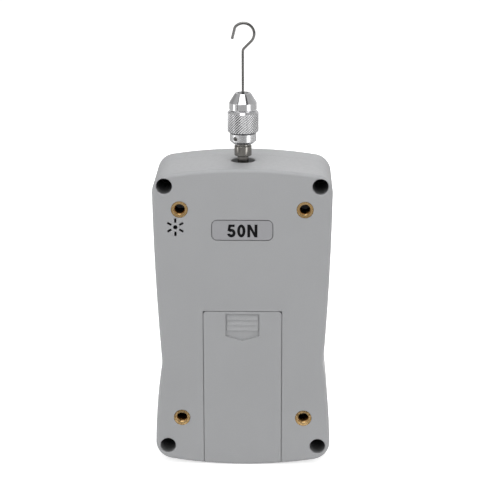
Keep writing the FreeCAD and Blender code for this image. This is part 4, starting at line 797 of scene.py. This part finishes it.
chuck_low, chuck_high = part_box("chuck_body")
spigot_radius, collar_radius, stud_hole, collet_hole = 0.0042, 0.0054, 0.00295, 0.0022
collar_top = chuck_low.z + 0.0044
stud_hole_end, collet_floor = chuck_low.z + 0.0073, chuck_low.z + 0.0079
body_tree, size = sized_tree(
    "chuck_body", Hole_Radius=0.0009, Hole_Place=Vector((0.0, axis_y, chuck_low.z + 0.0027)),
    Hole_Turn=math.radians(-33.0), Thread_Radius=spigot_radius, Thread_Pitch=0.00075,
    Thread_Height=0.00012, Thread_Length=chuck_high.z - collar_top - 0.0012,
    Thread_Foot=Vector((0.0, axis_y, collar_top + 0.0006)))
drill_length = 0.02
drill = cylinder(body_tree, size["Hole Radius"], drill_length, 40)
drill = moved(body_tree, drill, (0.0, 0.0, -drill_length / 2))
drill = moved(body_tree, drill, size["Hole Place"], step(
    body_tree, "ShaderNodeCombineXYZ", X=math.pi / 2, Z=size["Hole Turn"]))
thread = moved(body_tree, thread_ridge(
    body_tree, size["Thread Radius"], size["Thread Pitch"], size["Thread Length"],
    size["Thread Height"]), size["Thread Foot"])
close_tree(body_tree, joined(body_tree, cut(body_tree, size["Geometry"], drill), thread),
           turned_metal("satin_chrome", (0.72, 0.72, 0.73), 0.25, 0.00016, 0.8e-6))
chuck_body = grown("chuck_collar", body_tree, turned_blank(
    [(stud_hole, chuck_low.z), (0.0039, chuck_low.z), (collar_radius, chuck_low.z + 0.0013),
     (collar_radius, collar_top), (spigot_radius, collar_top), (spigot_radius, chuck_high.z),
     (collet_hole, chuck_high.z), (collet_hole, collet_floor), (0.0, collet_floor),
     (0.0, stud_hole_end), (stud_hole, stud_hole_end)], 128), 50.0)
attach(chuck_body, "shaft")
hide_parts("chuck_body")

# Clamping nut: a diamond-knurled grip and, over a groove, a polished round
# nose with a cone, turned in one. It draws the split collet down on the wire.

nut_low, nut_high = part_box("chuck_nose")
grip_radius, chamfer, nose_radius, groove_radius = nut_high.x, 0.0007, 0.00555, 0.00495
grip_top = nut_low.z + 0.00895
nose_foot = grip_top + 0.00035
knurl_low, knurl_high = nut_low.z + chamfer, grip_top - chamfer
knurl_starts, knurl_pitch, facets = 33, 0.00105, 10
rows = int((knurl_high - knurl_low) / knurl_pitch * facets)
knurl_tree, size = sized_tree(
    "diamond_knurl", Starts=knurl_starts, Pitch=knurl_pitch, Depth=0.00025, Radius=grip_radius,
    Low=knurl_low, High=knurl_high, Axis=Vector((0.0, axis_y, 0.0)))


def from_axis(tree, place, axis):
    """A place measured from a point on the axis: its numbers, its outward part and its reach."""
    parts = step(tree, "ShaderNodeSeparateXYZ", Vector=vector_sum(
        tree, "SUBTRACT", place, axis)).node.outputs
    outward = step(tree, "ShaderNodeCombineXYZ", X=parts["X"], Y=parts["Y"], Z=0.0)
    return parts, outward, vector_sum(tree, "LENGTH", outward)


parts, outward, reach = from_axis(
    knurl_tree, step(knurl_tree, "GeometryNodeInputPosition"), size["Axis"])
around = sum_of(knurl_tree, "MULTIPLY", sum_of(knurl_tree, "DIVIDE", sum_of(
    knurl_tree, "ARCTAN2", parts["Y"], parts["X"]), 2 * math.pi), size["Starts"])
along = sum_of(knurl_tree, "DIVIDE", parts["Z"], size["Pitch"])
# The right-hand wheel of the knurling tool bites deeper than the left-hand one.
crests = [sum_of(knurl_tree, "ADD", sum_of(knurl_tree, "PINGPONG", sum_of(
    knurl_tree, kind, around, along), 0.5), rise) for kind, rise in (("ADD", 0.2), ("SUBTRACT", 0.0))]
flat_crest = 0.8
crest = sum_of(knurl_tree, "MINIMUM", flat_crest, sum_of(
    knurl_tree, "MULTIPLY", sum_of(knurl_tree, "MINIMUM", *crests), 2.0))
chosen = sum_of(knurl_tree, "GREATER_THAN", reach, sum_of(
    knurl_tree, "SUBTRACT", size["Radius"], 0.00002))
for kind, end in (("GREATER_THAN", "Low"), ("LESS_THAN", "High")):
    chosen = sum_of(knurl_tree, "MULTIPLY", chosen, sum_of(knurl_tree, kind, parts["Z"], size[end]))
sunk = sum_of(knurl_tree, "MULTIPLY", chosen, sum_of(
    knurl_tree, "MULTIPLY", size["Depth"], sum_of(knurl_tree, "SUBTRACT", crest, flat_crest)))
pressed = step(knurl_tree, "GeometryNodeSetPosition", Geometry=size["Geometry"], Offset=vector_sum(
    knurl_tree, "SCALE", vector_sum(knurl_tree, "NORMALIZE", outward), Scale=sunk))
polished_chrome = turned_metal("polished_chrome", (0.70, 0.70, 0.71), 0.12, 0.0002, 0.8e-6, dull=0.03)
tree, place = reopened(polished_chrome)
parts, _, reach = from_axis(tree, place, (0.0, axis_y, 0.0))
# Painted shade: the knurl's grooves, below its crests, are darker; the chrome above the knurl stays
# plain.
tinted(polished_chrome, sum_of(
    tree, "MAXIMUM", sum_of(tree, "GREATER_THAN", parts["Z"], knurl_high),
    shaded(tree, reach, start=grip_radius - 0.00006, end=grip_radius - 0.00018, level=0.42)))
close_tree(knurl_tree, pressed, polished_chrome)
nut = grown("clamping_nut", knurl_tree, turned_blank(
    [(spigot_radius + 0.0002, nut_low.z), (grip_radius - chamfer, nut_low.z), (grip_radius, knurl_low)] +
    [(grip_radius, knurl_low + (knurl_high - knurl_low) * k / rows) for k in range(1, rows)] +
    [(grip_radius, knurl_high), (grip_radius - chamfer, grip_top), (groove_radius, grip_top),
     (groove_radius, nose_foot), (nose_radius - 0.0003, nose_foot), (nose_radius, nose_foot + 0.0003),
     (nose_radius, nose_foot + 0.003), (0.0032, nut_high.z), (0.0022, nut_high.z),
     (0.0022, nut_high.z - 0.001), (0.0030, chuck_high.z + 0.0002),
     (spigot_radius + 0.0002, chuck_high.z + 0.0002)], knurl_starts * facets, 0.00005), 50.0)
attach(nut, "nose")
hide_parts("chuck_nose")
dress("collet", turned_metal("hardened_steel", (0.30, 0.30, 0.31), 0.30, 0.00015, 1.5e-6))

# Hook: drawn stainless spring wire, bent cold to an open eye and gripped in
# the collet.

dress("hook", turned_metal("drawn_wire", (0.19, 0.187, 0.182), 0.10, 0.0011, 0.4e-6, dull=0.02))

# Table: a pale floor, an even white surround and soft lamps. Bent grey
# and white cards, seen only as reflections, give the bright metal its depth.

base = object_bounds()[0].z
floor_shape = bmesh.new()
bmesh.ops.create_grid(floor_shape, x_segments=1, y_segments=1, size=6.0)
floor_shape.transform(Matrix.Translation((0.0, 0.0, base)))
floor = placed("floor", mesh_of("floor", floor_shape))
paper, tree, shader, place = new_finish("table_paper", roughness=0.9)


def looked_at(tree):
    """1 for the camera's rays, also by a mirror or through glass, and 0 for soft light."""
    rays = step(tree, "ShaderNodeLightPath").node.outputs
    return sum_of(tree, "MAXIMUM", rays["Is Camera Ray"], sum_of(
        tree, "MAXIMUM", rays["Is Glossy Ray"], rays["Is Transmission Ray"]))


fit(tree, shader, {
    "Base Color": toned(tree, (0.80, 0.80, 0.80), speckle(tree, place, 30.0, 0.99, 1.01)),
    "Specular IOR Level": 0.0,
    "Emission Color": (1.0, 1.0, 1.0, 1.0),
    "Emission Strength": sum_of(tree, "MULTIPLY", looked_at(tree), 0.65),
})
floor.data.materials.append(paper)

world = bpy.data.worlds.new("surround")
bpy.context.scene.world = world
world.use_nodes = True
tree = world.node_tree
fit(tree, tree.nodes["Background"], {
    "Color": (1.0, 1.0, 1.0, 1.0),
    "Strength": step(tree, "ShaderNodeMix", 0, {"data_type": "FLOAT"},
                     n0=looked_at(tree), n2=0.45, n3=1.0),
})

middle = Vector((0.0, 0.0175, 0.01))
for name, azimuth, elevation, distance, width, watts in (
        ("top_lamp", 0.0, 88.0, 0.80, 0.40, 2.0), ("front_lamp", -8.0, 52.0, 0.80, 0.70, 1.76),
        ("left_lamp", -62.0, 18.0, 0.95, 0.55, 1.7), ("right_lamp", 50.0, 24.0, 0.95, 0.45, 1.8),
        ("far_lamp", 165.0, 30.0, 1.00, 0.60, 2.4)):
    light = bpy.data.lights.new(name, "AREA")
    light.shape, light.size, light.energy = "SQUARE", width, watts
    lamp = placed(name, light)
    a, e = math.radians(azimuth), math.radians(elevation)
    away = Vector((math.sin(a) * math.cos(e), -math.cos(a) * math.cos(e), math.sin(e)))
    lamp.location = middle + away * distance
    lamp.rotation_euler = away.to_track_quat("Z", "Y").to_euler()

table = base + 0.001
foot = ((0.06, table), (0.25, table), (0.42, table))
lower = ((0.42, table), (0.42, 0.0), (0.42, 0.05))
upper = ((0.42, 0.05), (0.42, 0.20), (0.42, 0.33))
roof = ((0.42, 0.33), (0.30, 0.50), (0.14, 0.66))
ceiling = ((0.14, 0.67), (0.07, 0.68), (0.001, 0.69))
arcs = 24
for name, start, end, profile, level in (
        ("foot_front", -36.0, 30.0, foot, 0.12), ("low_front", -45.0, 33.0, lower, 0.52),
        ("low_dark_left", -51.0, -45.0, lower, 0.05), ("low_pale_left", -72.0, -51.0, lower, 0.74),
        ("low_white_left", -86.0, -72.0, lower, 2.30), ("low_right_edge", 33.0, 40.0, lower, 1.10),
        ("low_white_right", 40.0, 60.0, lower, 2.60), ("low_right_far", 60.0, 69.0, lower, 1.10),
        ("low_far", 69.0, 276.0, lower, 0.58), ("high_white_left", -62.0, -12.0, upper, 1.45),
        ("high_middle", -12.0, 12.0, upper, 0.42), ("high_right", 12.0, 140.0, upper, 0.56),
        ("high_far", 140.0, 215.0, upper, 0.70), ("high_left", 215.0, 298.0, upper, 0.36),
        ("roof_right_edge", 34.0, 56.0, roof, 0.08), ("roof_right", 56.0, 140.0, roof, 0.50),
        ("roof_far", 140.0, 215.0, roof, 0.75), ("roof_left", 215.0, 304.0, roof, 0.50),
        ("roof_left_edge", 304.0, 313.0, roof, 0.12), ("ceiling", 0.0, 360.0, ceiling, 1.70)):
    board_finish, tree, shader, place = new_finish(name, roughness=0.9)
    fit(tree, shader, {
        "Base Color": (0.0, 0.0, 0.0, 1.0),
        "Specular IOR Level": 0.0,
        "Emission Color": toned(tree, (1.0, 1.0, 1.0), speckle(tree, place, 12.0, 0.97, 1.03)),
        "Emission Strength": level,
    })
    turns = [math.radians(start + (end - start) * k / arcs) for k in range(arcs + 1)]
    points = [(radius * math.sin(a), middle.y - radius * math.cos(a), z)
              for a in turns for radius, z in profile]
    rows = len(profile)
    bent = bpy.data.meshes.new(name)
    bent.from_pydata(points, [], [(k + n, k + n + rows, k + n + rows + 1, k + n + 1)
                                  for k in range(0, arcs * rows, rows) for n in range(rows - 1)])
    bent.materials.append(board_finish)
    card = placed(name, bent)
    card.visible_camera = card.visible_diffuse = card.visible_shadow = False
    card.visible_transmission = False

# Camera: a long lens a little above the gauge and square to its back.

camera = placed("camera", bpy.data.cameras.new("camera"))
camera.data.sensor_width, camera.data.lens = 36.0, 124.1
rise, yaw, roll = math.radians(16.5), math.radians(1.49), math.radians(-0.145)
back = Vector((math.sin(yaw) * math.cos(rise), -math.cos(yaw) * math.cos(rise), math.sin(rise)))
right = (-back).cross(Vector((0.0, 0.0, 1.0))).normalized()
up = right.cross(-back)
across = math.cos(roll) * right + math.sin(roll) * up
upright = math.cos(roll) * up - math.sin(roll) * right
aim, distance = Vector((-0.0009, 0.0, 0.0320)), 0.66106
camera.matrix_world = Matrix.Translation(aim + back * distance) @ Matrix(
    (across, upright, back)).transposed().to_4x4()
camera.data.clip_start, camera.data.clip_end = 0.01, 50.0
bpy.context.scene.camera = camera
bpy.context.scene.view_settings.view_transform = "Standard"
